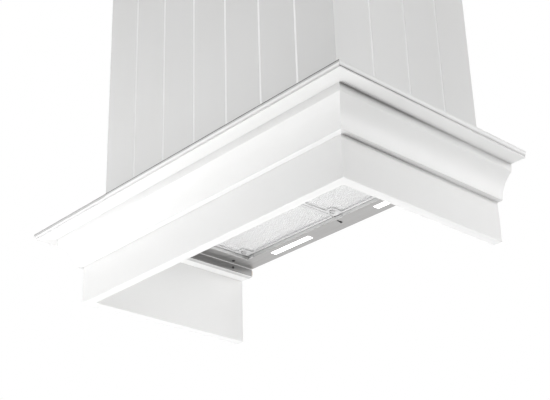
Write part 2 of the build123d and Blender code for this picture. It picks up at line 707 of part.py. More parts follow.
# Plenum box above the filters, open below, with the blower's inlet in its top
with BuildPart() as plenum_box:
    with BuildSketch(Plane.XY.offset(level(LINER_FACE + SHEET))):
        box_sketch(-PLENUM_HALF, LINER_FRONT + SHEET, PLENUM_HALF, LINER_BACK - SHEET)
    extrude(amount=PLENUM_TOP - LINER_FACE - SHEET)
    with BuildSketch(Plane.XY.offset(level(LINER_FACE + SHEET))):
        box_sketch(PLENUM_SHEET - PLENUM_HALF, LINER_FRONT + SHEET + PLENUM_SHEET,
                   PLENUM_HALF - PLENUM_SHEET, LINER_BACK - SHEET - PLENUM_SHEET)
    extrude(amount=PLENUM_TOP - LINER_FACE - SHEET - PLENUM_SHEET, mode=Mode.SUBTRACT)
    with BuildSketch(Plane.XY.offset(level(LINER_FACE + SHEET))):
        for side in (-1, 1):
            with Locations((side * (PLENUM_HALF - PLENUM_FLANGE / 2), (LINER_FRONT + LINER_BACK) / 2)):
                Rectangle(PLENUM_FLANGE, LINER_BACK - LINER_FRONT - 2 * SHEET)
        with Locations(*[(side * MARGIN_SCREW_X, y) for side in (-1, 1) for y in MARGIN_SCREW_YS]):
            Circle(MARGIN_SCREW_RADIUS, mode=Mode.SUBTRACT)
    extrude(amount=PLENUM_SHEET)
    with BuildSketch(Plane.XY.offset(level(PLENUM_TOP - PLENUM_SHEET))):
        with Locations((BLOWER_X, BLOWER_Y)):
            Circle(INLET_RADIUS)
    extrude(amount=PLENUM_SHEET, mode=Mode.SUBTRACT)
finish(plenum_box, "plenum_box")


# Blower scroll: four arcs whose centres stand on the corners of a small square, so that
# each is larger than the last and runs smoothly into it
square = VOLUTE_GROWTH / 2
arc_centres = [(square, square), (-square, square), (-square, -square), (square, -square)]
arc_starts = [VOLUTE_START_ANGLE, 0, 90, 180]
arc_turns = [-VOLUTE_START_ANGLE, 90, 90, 90]

with BuildSketch() as volute:
    with BuildLine():
        for i in range(4):
            x, y = arc_centres[i]
            arc = CenterArc((BLOWER_X + x, BLOWER_Y + y), VOLUTE_RADIUS + i * VOLUTE_GROWTH,
                            arc_starts[i], arc_turns[i])
            if i == 0:
                cut_off = arc @ 0
        mouth_outer_y = (arc @ 1).Y
        Polyline(arc @ 1, (MOUTH_X, mouth_outer_y), (MOUTH_X, MOUTH_INNER_Y),
                 (MOUTH_X - MOUTH_NECK, MOUTH_INNER_Y), cut_off)
    make_face()

with BuildSketch() as volute_wall:
    add(volute.sketch)
    offset(volute.sketch, amount=-SHEET, mode=Mode.SUBTRACT)
    box_sketch(MOUTH_X - 2 * SHEET, mouth_outer_y + SHEET, MOUTH_X, MOUTH_INNER_Y - SHEET,
               mode=Mode.SUBTRACT)

with BuildPart() as blower_scroll:
    with BuildSketch(Plane.XY.offset(level(PLENUM_TOP))):
        add(volute.sketch)
        with Locations((BLOWER_X, BLOWER_Y)):
            Circle(INLET_RADIUS, mode=Mode.SUBTRACT)
    extrude(amount=SHEET)
    with BuildSketch(Plane.XY.offset(level(PLENUM_TOP))):
        add(volute_wall.sketch)
    extrude(amount=BLOWER_TOP - PLENUM_TOP)
    with BuildSketch(Plane.XY.offset(level(BLOWER_TOP))):
        add(volute.sketch)
        with Locations((BLOWER_X, BLOWER_Y)):
            Circle(MOTOR_HOLE_RADIUS, mode=Mode.SUBTRACT)
            with PolarLocations(MOTOR_SCREW_RING, 3, start_angle=90):
                Circle(MARGIN_SCREW_RADIUS, mode=Mode.SUBTRACT)
    extrude(amount=-SHEET)
    # Rolled inlet ring that leads the air into the wheel
    with BuildSketch(Plane.XY.offset(level(PLENUM_TOP))):
        with Locations((BLOWER_X, BLOWER_Y)):
            Circle(INLET_RADIUS + SHEET)
            Circle(INLET_RADIUS, mode=Mode.SUBTRACT)
    extrude(amount=INLET_RING_HIGH)
finish(blower_scroll, "blower_scroll")


def blade_profile():
    """One blade, seen along the shaft: a strip with two bends, leaning forward at the rim."""
    third = (WHEEL_RADIUS - WHEEL_INNER) / 3
    with BuildSketch(mode=Mode.PRIVATE) as sketch:
        with BuildLine():
            Polyline((WHEEL_INNER, 0), (WHEEL_INNER + third, -BLADE_BELLY),
                     (WHEEL_RADIUS - third, 0), (WHEEL_RADIUS - BLADE_THICK, BLADE_LEAN))
        trace(line_width=BLADE_THICK)
    return sketch.sketch


# Forward-curved wheel: back plate with a dished hub, blades and a front ring
blower_axis = Plane(origin=(BLOWER_X, BLOWER_Y, level(0)), x_dir=(1, 0, 0), z_dir=(0, -1, 0))
wheel_floor = Plane(origin=(BLOWER_X, BLOWER_Y, level(WHEEL_BOTTOM)))

with BuildPart() as impeller:
    with BuildSketch(blower_axis):
        bore = SHAFT_RADIUS + HUB_GAP
        hub_top = HUB_BOTTOM + HUB_LONG
        with BuildLine():
            Polyline((bore, HUB_BOTTOM), (HUB_RADIUS, HUB_BOTTOM), (HUB_RADIUS, hub_top - DISH_THICK),
                     (DISH_RADIUS, WHEEL_TOP - BACK_PLATE), (WHEEL_RADIUS, WHEEL_TOP - BACK_PLATE),
                     (WHEEL_RADIUS, WHEEL_TOP), (DISH_RADIUS, WHEEL_TOP), (HUB_RADIUS, hub_top),
                     (bore, hub_top), close=True)
        make_face()
    revolve(axis=Axis((BLOWER_X, BLOWER_Y, 0), (0, 0, 1)))
    with BuildSketch(wheel_floor):
        Circle(WHEEL_RADIUS)
        Circle(WHEEL_RADIUS - FRONT_RING_WIDE, mode=Mode.SUBTRACT)
    extrude(amount=SHEET)
    with BuildSketch(wheel_floor.offset(SHEET)):
        with PolarLocations(0, BLADES):
            add(blade_profile())
    extrude(amount=WHEEL_TOP - WHEEL_BOTTOM - BACK_PLATE - SHEET)
finish(impeller, "impeller")

with BuildPart() as motor_shaft:
    with BuildSketch(Plane(origin=(BLOWER_X, BLOWER_Y, level(HUB_BOTTOM)))):
        Circle(SHAFT_RADIUS)
    extrude(amount=SHAFT_TOP - HUB_BOTTOM)
    chamfer(motor_shaft.edges().filter_by(GeomType.CIRCLE), length=SHAFT_BEVEL)
finish(motor_shaft, "motor_shaft")

with BuildPart() as motor:
    with BuildSketch(Plane(origin=(BLOWER_X, BLOWER_Y, level(BLOWER_TOP)))):
        Circle(MOTOR_RADIUS)
        with PolarLocations(MOTOR_SCREW_RING, 3, start_angle=90):
            Circle(MOTOR_LUG_RADIUS)
        with PolarLocations(MOTOR_SCREW_RING / 2, 3, start_angle=90):
            Rectangle(MOTOR_SCREW_RING, 2 * MOTOR_LUG_RADIUS)
        with PolarLocations(MOTOR_SCREW_RING, 3, start_angle=90):
            Circle(MARGIN_SCREW_RADIUS, mode=Mode.SUBTRACT)
    extrude(amount=MOTOR_LUG_THICK)
    with BuildSketch(Plane(origin=(BLOWER_X, BLOWER_Y, level(BLOWER_TOP)))):
        Circle(MOTOR_RADIUS)
    extrude(amount=MOTOR_TOP - BLOWER_TOP)
    chamfer(motor.edges().group_by(Axis.Z)[-1], length=MOTOR_BEVEL)
    with BuildSketch(Plane(origin=(BLOWER_X, BLOWER_Y, level(BLOWER_TOP + RIB_FOOT)))):
        with PolarLocations(MOTOR_RADIUS, MOTOR_RIBS):
            Rectangle(2 * MOTOR_RIB, MOTOR_RIB)
    extrude(amount=MOTOR_TOP - BLOWER_TOP - RIB_FOOT - RIB_HEAD)
    with BuildSketch(Plane(origin=(BLOWER_X, BLOWER_Y, level(BLOWER_TOP)))):
        Circle(SHAFT_RADIUS + RUNNING_GAP)
    extrude(amount=SHAFT_TOP + SHAFT_END_GAP - BLOWER_TOP, mode=Mode.SUBTRACT)
finish(motor, "motor")


# Discharge box: the scroll blows in from the left and the collar stands on top
box_front = BOX_CENTRE_Y - BOX_HALF
box_back = BOX_CENTRE_Y + BOX_HALF

with BuildPart() as discharge_box:
    with BuildSketch(Plane.XY.offset(level(PLENUM_TOP))):
        box_sketch(-BOX_HALF, box_front, BOX_HALF, box_back)
    extrude(amount=BLOWER_TOP - PLENUM_TOP)
    with BuildSketch(Plane.XY.offset(level(PLENUM_TOP + PLENUM_SHEET))):
        box_sketch(PLENUM_SHEET - BOX_HALF, box_front + PLENUM_SHEET, BOX_HALF - PLENUM_SHEET,
                   box_back - PLENUM_SHEET)
    extrude(amount=BLOWER_TOP - PLENUM_TOP - 2 * PLENUM_SHEET, mode=Mode.SUBTRACT)
    with BuildSketch(Plane.XY.offset(level(PLENUM_TOP + SHEET))):
        box_sketch(-BOX_HALF, mouth_outer_y + SHEET, PLENUM_SHEET - BOX_HALF, MOUTH_INNER_Y - SHEET)
    extrude(amount=BLOWER_TOP - PLENUM_TOP - 2 * SHEET, mode=Mode.SUBTRACT)
    with BuildSketch(Plane.XY.offset(level(BLOWER_TOP - PLENUM_SHEET))):
        with Locations((0, BOX_CENTRE_Y)):
            Circle(COLLAR_RADIUS - COLLAR_WALL)
            with PolarLocations(COLLAR_SCREW_RING, 4, start_angle=45):
                Circle(MARGIN_SCREW_RADIUS)
    extrude(amount=PLENUM_SHEET, mode=Mode.SUBTRACT)
finish(discharge_box, "discharge_box")

# Collar with a stop ring under the flaps and two holes for the spindle
with BuildPart() as duct_collar:
    with BuildSketch(Plane.XY.offset(level(BLOWER_TOP))):
        with Locations((0, BOX_CENTRE_Y)):
            RectangleRounded(COLLAR_FLANGE, COLLAR_FLANGE, 6)
            with PolarLocations(COLLAR_SCREW_RING, 4, start_angle=45):
                Circle(MARGIN_SCREW_RADIUS, mode=Mode.SUBTRACT)
    extrude(amount=SHEET)
    with BuildSketch(Plane.XY.offset(level(BLOWER_TOP))):
        with Locations((0, BOX_CENTRE_Y)):
            Circle(COLLAR_RADIUS)
    extrude(amount=COLLAR_TOP - BLOWER_TOP)
    with BuildSketch(Plane.XY.offset(level(BLOWER_TOP))):
        with Locations((0, BOX_CENTRE_Y)):
            Circle(COLLAR_RADIUS - COLLAR_WALL)
    extrude(amount=COLLAR_TOP - BLOWER_TOP, mode=Mode.SUBTRACT)
    with BuildSketch(Plane.XY.offset(level(STOP_TOP))):
        with Locations((0, BOX_CENTRE_Y)):
            Circle(COLLAR_RADIUS - COLLAR_WALL / 2)
            Circle(STOP_RADIUS, mode=Mode.SUBTRACT)
            Rectangle(2 * (COLLAR_RADIUS - COLLAR_WALL), 4 * SPINDLE_RADIUS, mode=Mode.SUBTRACT)
    extrude(amount=-SHEET)
    with BuildSketch(Plane.YZ.offset(-COLLAR_RADIUS)):
        with Locations((BOX_CENTRE_Y, level(SPINDLE_HEIGHT))):
            Circle(SPINDLE_RADIUS + RUNNING_GAP)
    extrude(amount=2 * COLLAR_RADIUS, mode=Mode.SUBTRACT)
finish(duct_collar, "duct_collar")

with BuildPart() as damper_spindle:
    with BuildSketch(Plane.YZ.offset(-SPINDLE_HALF)):
        with Locations((BOX_CENTRE_Y, level(SPINDLE_HEIGHT))):
            Circle(SPINDLE_RADIUS)
    extrude(amount=2 * SPINDLE_HALF)
finish(damper_spindle, "damper_spindle")


# A flap is a half disc that hangs on the spindle by two knuckles. towards is -1 for the
# flap on the room side and 1 for the one on the wall side.
def damper_flap(towards, spans, name):
    with BuildPart() as flap:
        with BuildSketch(Plane.XY.offset(level(SPINDLE_HEIGHT))):
            with Locations((0, BOX_CENTRE_Y)):
                Circle(FLAP_RADIUS)
            with Locations((0, BOX_CENTRE_Y - towards * (FLAP_RADIUS - FLAP_EDGE))):
                Rectangle(2 * FLAP_RADIUS, 2 * FLAP_RADIUS, mode=Mode.SUBTRACT)
            for low, high in spans:
                with Locations(((low + high) / 2, BOX_CENTRE_Y + towards * (FLAP_EDGE + KNUCKLE_WEB) / 2)):
                    Rectangle(high - low, FLAP_EDGE - KNUCKLE_WEB + 1)
        extrude(amount=-FLAP_THICK)
        for low, high in spans:
            with BuildSketch(Plane.YZ.offset(low)):
                with Locations((BOX_CENTRE_Y, level(SPINDLE_HEIGHT))):
                    Circle(KNUCKLE_RADIUS)
            extrude(amount=high - low)
        with BuildSketch(Plane.YZ.offset(-FLAP_RADIUS)):
            with Locations((BOX_CENTRE_Y, level(SPINDLE_HEIGHT))):
                Circle(SPINDLE_RADIUS + RUNNING_GAP)
        extrude(amount=2 * FLAP_RADIUS, mode=Mode.SUBTRACT)
    finish(flap, name)


damper_flap(-1, [(-64, -33), (1, 32)], "damper_flap_front")
damper_flap(1, [(-32, -1), (33, 64)], "damper_flap_rear")


# Wiring box with a knocked-out cable hole in its lid
with BuildPart() as wiring_box:
    with BuildSketch(Plane.XY.offset(level(PLENUM_TOP))):
        with Locations((WIRING_X, WIRING_Y)):
            Rectangle(WIRING_SIZE[0], WIRING_SIZE[1])
    extrude(amount=WIRING_SIZE[2])
    with BuildSketch(Plane.XY.offset(level(PLENUM_TOP + PLENUM_SHEET))):
        with Locations((WIRING_X, WIRING_Y)):
            Rectangle(WIRING_SIZE[0] - 2 * PLENUM_SHEET, WIRING_SIZE[1] - 2 * PLENUM_SHEET)
    extrude(amount=WIRING_SIZE[2] - 2 * PLENUM_SHEET, mode=Mode.SUBTRACT)
    with BuildSketch(Plane.XY.offset(level(PLENUM_TOP + WIRING_SIZE[2]))):
        with Locations((WIRING_X, WIRING_Y)):
            Rectangle(WIRING_SIZE[0] + 2 * LID_OVERHANG, WIRING_SIZE[1] + 2 * LID_OVERHANG)
            Circle(CABLE_HOLE_RADIUS, mode=Mode.SUBTRACT)
    extrude(amount=-PLENUM_SHEET)
    with BuildSketch(Plane.XY.offset(level(PLENUM_TOP + WIRING_SIZE[2]))):
        with Locations((WIRING_X, WIRING_Y)):
            Circle(CABLE_HOLE_RADIUS)
    extrude(amount=-2 * PLENUM_SHEET, mode=Mode.SUBTRACT)
finish(wiring_box, "wiring_box")


# Screws, each its own solid: pan heads below the liner, and hexagon heads on the blower.
# A screw is placed by the plane under its head, whose Z axis points along the shank.
def screws(seats, shank_long, hexagon, name):
    with BuildPart() as group:
        for seat in seats:
            with BuildSketch(seat.offset(-SCREW_HEAD_THICK)):
                if hexagon:
                    RegularPolygon(SCREW_HEAD, 6)
                else:
                    Circle(SCREW_HEAD)
            extrude(amount=SCREW_HEAD_THICK)
            with BuildSketch(seat):
                Circle(SCREW_SHANK)
            extrude(amount=shank_long)
    finish(group, name)


screws([Plane(origin=(side * MARGIN_SCREW_X, y, level(LINER_FACE)), x_dir=(1, 0, 0), z_dir=(0, 0, 1))
        for side in (-1, 1) for y in MARGIN_SCREW_YS], LINER_SCREW_LONG, False, "liner_screws")

motor_seats = [Plane(origin=(BLOWER_X + MOTOR_SCREW_RING * cos(radians(a)),
                             BLOWER_Y + MOTOR_SCREW_RING * sin(radians(a)),
                             level(BLOWER_TOP + MOTOR_LUG_THICK)), x_dir=(1, 0, 0), z_dir=(0, 0, -1))
               for a in (90, 210, 330)]
collar_seats = [Plane(origin=(COLLAR_SCREW_RING * cos(radians(a)),
                              BOX_CENTRE_Y + COLLAR_SCREW_RING * sin(radians(a)),
                              level(BLOWER_TOP + SHEET)), x_dir=(1, 0, 0), z_dir=(0, 0, -1))
                for a in (45, 135, 225, 315)]
screws(motor_seats + collar_seats, BLOWER_SCREW_LONG, True, "blower_screws")
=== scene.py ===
import math

import bmesh
import bpy
from mathutils import Matrix, Vector


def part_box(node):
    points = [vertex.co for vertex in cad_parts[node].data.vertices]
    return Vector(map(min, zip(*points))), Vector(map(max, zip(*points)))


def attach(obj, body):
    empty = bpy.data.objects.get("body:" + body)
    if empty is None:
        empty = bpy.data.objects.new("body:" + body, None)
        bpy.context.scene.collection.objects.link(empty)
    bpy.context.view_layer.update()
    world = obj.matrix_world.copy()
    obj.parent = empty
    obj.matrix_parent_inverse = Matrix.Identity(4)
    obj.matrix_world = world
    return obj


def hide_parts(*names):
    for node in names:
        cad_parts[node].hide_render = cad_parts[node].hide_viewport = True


# Wall-mount range hood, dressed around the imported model. Metres, in the model's own frame:
# the origin is the centre of the wall screws, +Y goes into the wall and +Z is up.

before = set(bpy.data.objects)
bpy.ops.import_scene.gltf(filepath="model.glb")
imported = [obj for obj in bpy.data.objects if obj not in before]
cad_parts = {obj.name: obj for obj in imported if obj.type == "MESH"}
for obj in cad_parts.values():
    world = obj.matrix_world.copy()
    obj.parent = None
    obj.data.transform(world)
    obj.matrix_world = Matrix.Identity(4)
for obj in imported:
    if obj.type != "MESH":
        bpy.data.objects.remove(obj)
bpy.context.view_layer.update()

# Where the model's faces are
CHIMNEY_HALF = 0.423
CHIMNEY_FRONT = -0.479
PLANK_THICK = 0.0115
JOINT_DEPTHS = (0.0003, 0.0036)
CROWN_FOOT = -0.4763
NOSE_GREY = -0.3885
NOSE_TOP = -0.3804
SHELF_TOP = -0.390
LINER_FACE = -0.376
LIP_TOP = -0.3985
SKIRT_INSIDE = 0.3838
FOLD_INSIDE = 0.3832
FOLD_FOOT = -0.3777
OPENING_HALF = 0.3415
OPENING_BACK = -0.0606
STEP_FOOT = -0.3758
FILTER_FACE = -0.3665
BLOWER = Vector((-0.21, -0.15, 0.0))
COLLAR = Vector((0.0, -0.215, 0.0))
WIRING = Vector((0.22, -0.09, 0.0))
LID_TOP = -0.268

# Camera, solved from straight edges of the photograph, whose frame is 550 x 400 pixels
PHOTO_WIDE = 550
FOCAL_PIXELS = 1183.7
SENSOR = 36.0
YAW = math.radians(46.587)
PITCH = math.radians(25.509)
ROLL = math.radians(-1.725)
EYE = Vector((1.8969, -2.0662, -1.6293))

forward = Vector((-math.sin(YAW) * math.cos(PITCH), math.cos(YAW) * math.cos(PITCH), math.sin(PITCH)))
level_right = Vector((math.cos(YAW), math.sin(YAW), 0.0))
level_up = level_right.cross(forward)
right = math.cos(ROLL) * level_right + math.sin(ROLL) * level_up
up = -math.sin(ROLL) * level_right + math.cos(ROLL) * level_up

camera_data = bpy.data.cameras.new("camera")
camera_data.sensor_width = SENSOR
camera_data.lens = FOCAL_PIXELS * SENSOR / PHOTO_WIDE
camera_data.clip_end = 100.0
camera = bpy.data.objects.new("camera", camera_data)
bpy.context.scene.collection.objects.link(camera)
camera.matrix_world = Matrix((
    (right.x, up.x, -forward.x, EYE.x),
    (right.y, up.y, -forward.y, EYE.y),
    (right.z, up.z, -forward.z, EYE.z),
    (0.0, 0.0, 0.0, 1.0)))
bpy.context.scene.camera = camera
bpy.context.scene.view_settings.view_transform = "Standard"


# Node helpers
class Nodes:
    """A node tree with short calls: add makes a node and fills or links its inputs."""

    def __init__(self, tree):
        self.tree = tree

    def add(self, kind, inputs=None, **settings):
        node = self.tree.nodes.new(kind)
        for key, value in settings.items():
            setattr(node, key, value)
        self.fill(node, inputs or {})
        return node

    def fill(self, node, inputs):
        """Links each input that is a socket, and sets the others."""
        for key, value in inputs.items():
            if isinstance(value, bpy.types.NodeSocket):
                self.tree.links.new(value, node.inputs[key])
            else:
                node.inputs[key].default_value = value

    def axes(self, place):
        return self.add("ShaderNodeSeparateXYZ", {0: place}).outputs

    def math(self, operation, a, b=0.0, c=0.0):
        return self.add("ShaderNodeMath", {0: a, 1: b, 2: c}, operation=operation).outputs[0]

    def mix(self, factor, a, b):
        return self.add("ShaderNodeMix", {0: factor, 6: a, 7: b}, data_type="RGBA").outputs[2]

    def ramp(self, factor, low, high):
        return self.add("ShaderNodeMapRange", {0: factor, 1: low, 2: high},
                        interpolation_type="SMOOTHSTEP").outputs[0]

    def noise(self, place, scale, detail=3.0, roughness=0.5):
        return self.add("ShaderNodeTexNoise", {"Vector": place, "Scale": scale, "Detail": detail,
                                               "Roughness": roughness}).outputs["Fac"]

    def stretch(self, place, scale, turn=(0.0, 0.0, 0.0)):
        return self.add("ShaderNodeMapping", {"Vector": place, "Scale": scale, "Rotation": turn}).outputs[0]


def node_group(name, inputs, outputs):
    """An empty node group with named sockets. Returns its Nodes helper, what it is given and its
    output node."""
    tree = bpy.data.node_groups.new(name, "ShaderNodeTree")
    for label, kind, default in inputs:
        socket = tree.interface.new_socket(name=label, in_out="INPUT", socket_type=kind)
        if default is not None:
            socket.default_value = default
    for label, kind in outputs:
        tree.interface.new_socket(name=label, in_out="OUTPUT", socket_type=kind)
    return Nodes(tree), tree.nodes.new("NodeGroupInput").outputs, tree.nodes.new("NodeGroupOutput")


def new_material(name):
    """A material with a Principled shader. Returns it, its Nodes helper, the shader and Object
    coordinates."""
    material = bpy.data.materials.new(name)
    material.use_nodes = True
    n = Nodes(material.node_tree)
    shader = material.node_tree.nodes["Principled BSDF"]
    place = n.add("ShaderNodeTexCoord").outputs["Object"]
    return material, n, shader, place


def use_group(n, tree, inputs):
    node = n.add("ShaderNodeGroup", node_tree=tree)
    n.fill(node, inputs)
    return node


def finish(n, shader, color, rough, metallic=None):
    """Puts the colour, roughness and metallic on the shader, linked or set."""
    n.fill(shader, {"Base Color": color, "Roughness": rough})
    if metallic is not None:
        n.fill(shader, {"Metallic": metallic})


def bump(n, shader, height, strength, distance):
    node = n.add("ShaderNodeBump", {"Height": height, "Strength": strength, "Distance": distance})
    n.fill(shader, {"Normal": node.outputs[0]})


def rgba(value):
    """A grey from one number, or a colour from three."""
    return (value, value, value, 1.0) if isinstance(value, float) else (*value, 1.0)


# Studio: a plain pale floor far below, a white background and soft lamps all round
FLOOR_LEVEL = -2.33
FLOOR_SIZE = 30.0
FLOOR_WHITENESS = 0.8
BACKGROUND_LEVEL = 1.0
WORLD_LEVEL = 0.02
LIT_CENTRE = Vector((0.0, -0.25, -0.2))
LAMP_DISTANCE = 3.0
LAMP_SIZE = 1.6
LAMP_LOWEST = -2.25


def build_world():
    """Grey light from everywhere, and a white background for the camera and for reflections."""
    world = bpy.data.worlds.new("studio")
    bpy.context.scene.world = world
    world.use_nodes = True
    world.node_tree.nodes.clear()
    n = Nodes(world.node_tree)
    path = n.add("ShaderNodeLightPath").outputs
    seen = n.math("MAXIMUM", path["Is Camera Ray"], path["Is Transmission Ray"])
    seen_or_mirrored = n.math("MAXIMUM", seen, path["Is Glossy Ray"])
    light = n.add("ShaderNodeBackground", {"Color": rgba(1.0), "Strength": WORLD_LEVEL})
    backdrop = n.add("ShaderNodeBackground", {"Color": rgba(1.0), "Strength": BACKGROUND_LEVEL})
    shown = n.add("ShaderNodeMixShader", {0: seen_or_mirrored, 1: light.outputs[0], 2: backdrop.outputs[0]})
    n.add("ShaderNodeOutputWorld", {"Surface": shown.outputs[0]})


def soft_lamp(name, azimuth, elevation, watts):
    """A square lamp that looks at the part. Azimuth 0 is the room side and 90 the right."""
    turn, rise = math.radians(azimuth), math.radians(elevation)
    away = Vector((math.sin(turn) * math.cos(rise), -math.cos(turn) * math.cos(rise), math.sin(rise)))
    distance = LAMP_DISTANCE
    if LIT_CENTRE.z + away.z * distance < LAMP_LOWEST:
        distance = (LAMP_LOWEST - LIT_CENTRE.z) / away.z
    data = bpy.data.lights.new(name, "AREA")
    data.shape = "SQUARE"
    data.size = LAMP_SIZE
    data.energy = watts
    lamp = bpy.data.objects.new(name, data)
    bpy.context.scene.collection.objects.link(lamp)
    aim = (-away).to_track_quat("-Z", "Y").to_matrix().to_4x4()
    lamp.matrix_world = Matrix.Translation(LIT_CENTRE + away * distance) @ aim


LAMPS = (
    ("front", 0, 0, 15.0),
    ("left_front_high", -40, 15, 15.1),
    ("left_front", -40, 0, 18.7),
    ("left_front_low", -40, -30, 12.6),
    ("left_front_lowest", -40, -50, 14.7),
    ("left_low", -80, -30, 7.7),
    ("left_back", -120, 15, 12.0),
    ("right", 80, 15, 20.0),
    ("right_back", 120, 0, 31.3),
    ("back", 160, 0, 33.8),
    ("below", 0, -88, 20.7),
    ("above", 0, 88, 40.0),
)
build_world()
for name, azimuth, elevation, watts in LAMPS:
    soft_lamp("lamp_" + name, azimuth, elevation, watts)


# Effects that several finishes share
COLOR, FLOAT, VECTOR = "NodeSocketColor", "NodeSocketFloat", "NodeSocketVector"


def build_lacquer_group():
    """Sprayed lacquer: a faint cloudiness in the colour, orange peel, and the wood's grain
    showing through as long shallow ridges along the piece."""
    n, given, out = node_group(
        "sprayed_lacquer",
        [("Color", COLOR, (0.85, 0.85, 0.84, 1.0)), ("Shade", COLOR, (0.8, 0.79, 0.77, 1.0)),
         ("Place", VECTOR, None), ("Grain Place", VECTOR, None), ("Gloss", FLOAT, 0.4)],
        [("Color", COLOR), ("Roughness", FLOAT), ("Height", FLOAT)])
    cloud = n.noise(given["Place"], 3.5, 4.0, 0.55)
    handling = n.noise(given["Place"], 38.0, 2.0, 0.5)
    peel = n.noise(given["Place"], 900.0, 1.0, 0.4)
    grain = n.noise(given["Grain Place"], 60.0, 4.0, 0.6)
    tone = n.math("MULTIPLY", n.ramp(cloud, 0.35, 0.75), 0.35)
    n.fill(out, {"Color": n.mix(tone, given["Color"], given["Shade"]),
                 "Roughness": n.math("MULTIPLY_ADD", handling, 0.12, given["Gloss"]),
                 "Height": n.math("ADD", n.math("MULTIPLY", peel, 0.25), n.math("MULTIPLY", grain, 0.75))})
    return n.tree


def build_wood_group():
    """Planed softwood: wide growth bands and fine pores, along the grain's X axis."""
    n, given, out = node_group(
        "planed_wood",
        [("Early", COLOR, (0.76, 0.6, 0.4, 1.0)), ("Late", COLOR, (0.55, 0.37, 0.2, 1.0)),
         ("Grain Place", VECTOR, None)],
        [("Color", COLOR), ("Roughness", FLOAT), ("Height", FLOAT)])
    place = given["Grain Place"]
    wander = n.math("MULTIPLY", n.noise(place, 5.0, 2.0, 0.5), 14.0)
    bands = n.add("ShaderNodeTexWave", {"Vector": place, "Scale": 9.0, "Distortion": wander, "Detail": 2.0,
                                        "Detail Scale": 1.5},
                  wave_type="BANDS", bands_direction="Y").outputs["Fac"]
    pores = n.noise(n.stretch(place, (1.0, 6.0, 6.0)), 90.0, 3.0, 0.6)
    late = n.math("ADD", n.math("MULTIPLY", n.ramp(bands, 0.45, 1.0), 0.75), n.math("MULTIPLY", pores, 0.25))
    n.fill(out, {"Color": n.mix(late, given["Early"], given["Late"]),
                 "Roughness": n.math("MULTIPLY_ADD", pores, 0.2, 0.55),
                 "Height": n.math("ADD", n.math("MULTIPLY", bands, 0.4), pores)})
    return n.tree


def build_brushed_group():
    """Brushed sheet: long fine scratches along the place's X axis, smears and a few deep lines."""
    n, given, out = node_group(
        "brushed_sheet",
        [("Color", COLOR, (0.5, 0.5, 0.5, 1.0)), ("Dark", COLOR, (0.35, 0.35, 0.35, 1.0)),
         ("Place", VECTOR, None), ("Gloss", FLOAT, 0.3)],
        [("Color", COLOR), ("Roughness", FLOAT), ("Height", FLOAT)])
    place = given["Place"]
    fine = n.noise(n.stretch(place, (1.0, 60.0, 60.0)), 14.0, 4.0, 0.65)
    coarse = n.noise(n.stretch(place, (1.0, 18.0, 18.0)), 4.0, 2.0, 0.5)
    smear = n.noise(place, 6.0, 3.0, 0.5)
    line = n.math("ADD", n.math("MULTIPLY", fine, 0.6), n.math("MULTIPLY", coarse, 0.4))
    scratched = n.math("MULTIPLY_ADD", line, 0.18, given["Gloss"])
    n.fill(out, {"Color": n.mix(n.ramp(line, 0.3, 0.7), given["Dark"], given["Color"]),
                 "Roughness": n.math("ADD", scratched, n.math("MULTIPLY", smear, 0.1)),
                 "Height": line})
    return n.tree


def build_spangle_group():
    """Hot-dip zinc: crystal patches of slightly different tone and gloss, with a dull film."""
    n, given, out = node_group(
        "zinc_spangle",
        [("Color", COLOR, (0.62, 0.64, 0.66, 1.0)), ("Dark", COLOR, (0.48, 0.5, 0.52, 1.0)),
         ("Place", VECTOR, None), ("Size", FLOAT, 90.0)],
        [("Color", COLOR), ("Roughness", FLOAT), ("Height", FLOAT)])
    cells = n.add("ShaderNodeTexVoronoi", {"Vector": given["Place"], "Scale": given["Size"]}).outputs
    tone = n.add("ShaderNodeSeparateColor", {"Color": cells["Color"]}).outputs[0]
    film = n.noise(given["Place"], 7.0, 4.0, 0.6)
    factor = n.math("ADD", n.math("MULTIPLY", tone, 0.55), n.math("MULTIPLY", film, 0.45))
    n.fill(out, {"Color": n.mix(factor, given["Dark"], given["Color"]),
                 "Roughness": n.math("MULTIPLY_ADD", tone, 0.22, 0.28),
                 "Height": n.math("MULTIPLY", cells["Distance"], 0.5)})
    return n.tree


def build_grain_group():
    """Moulded or powder-coated surface: a fine pebble grain with slight rubbing."""
    n, given, out = node_group(
        "pebble_grain",
        [("Color", COLOR, (0.1, 0.1, 0.1, 1.0)), ("Rubbed", COLOR, (0.16, 0.16, 0.16, 1.0)),
         ("Place", VECTOR, None), ("Size", FLOAT, 1400.0), ("Gloss", FLOAT, 0.45)],
        [("Color", COLOR), ("Roughness", FLOAT), ("Height", FLOAT)])
    pebble = n.noise(given["Place"], given["Size"], 2.0, 0.5)
    rub = n.math("MULTIPLY", n.ramp(n.noise(given["Place"], 24.0, 3.0, 0.6), 0.45, 0.8), 0.6)
    n.fill(out, {"Color": n.mix(rub, given["Color"], given["Rubbed"]),
                 "Roughness": n.math("ADD", given["Gloss"], n.math("MULTIPLY", pebble, 0.15)),
                 "Height": pebble})
    return n.tree


def build_dust_group():
    """Lint and dust that settles on what faces up, as a mask."""
    n, given, out = node_group(
        "settled_dust", [("Place", VECTOR, None), ("Amount", FLOAT, 0.5)], [("Mask", FLOAT)])
    normal = n.add("ShaderNodeNewGeometry").outputs["Normal"]
    upward = n.ramp(n.axes(normal)["Z"], 0.3, 0.95)
    patches = n.ramp(n.noise(given["Place"], 16.0, 5.0, 0.65), 0.35, 0.75)
    n.fill(out, {"Mask": n.math("MULTIPLY", n.math("MULTIPLY", upward, patches), given["Amount"])})
    return n.tree


lacquer_group = build_lacquer_group()
wood_group = build_wood_group()
brushed_group = build_brushed_group()
spangle_group = build_spangle_group()
grain_group = build_grain_group()
dust_group = build_dust_group()

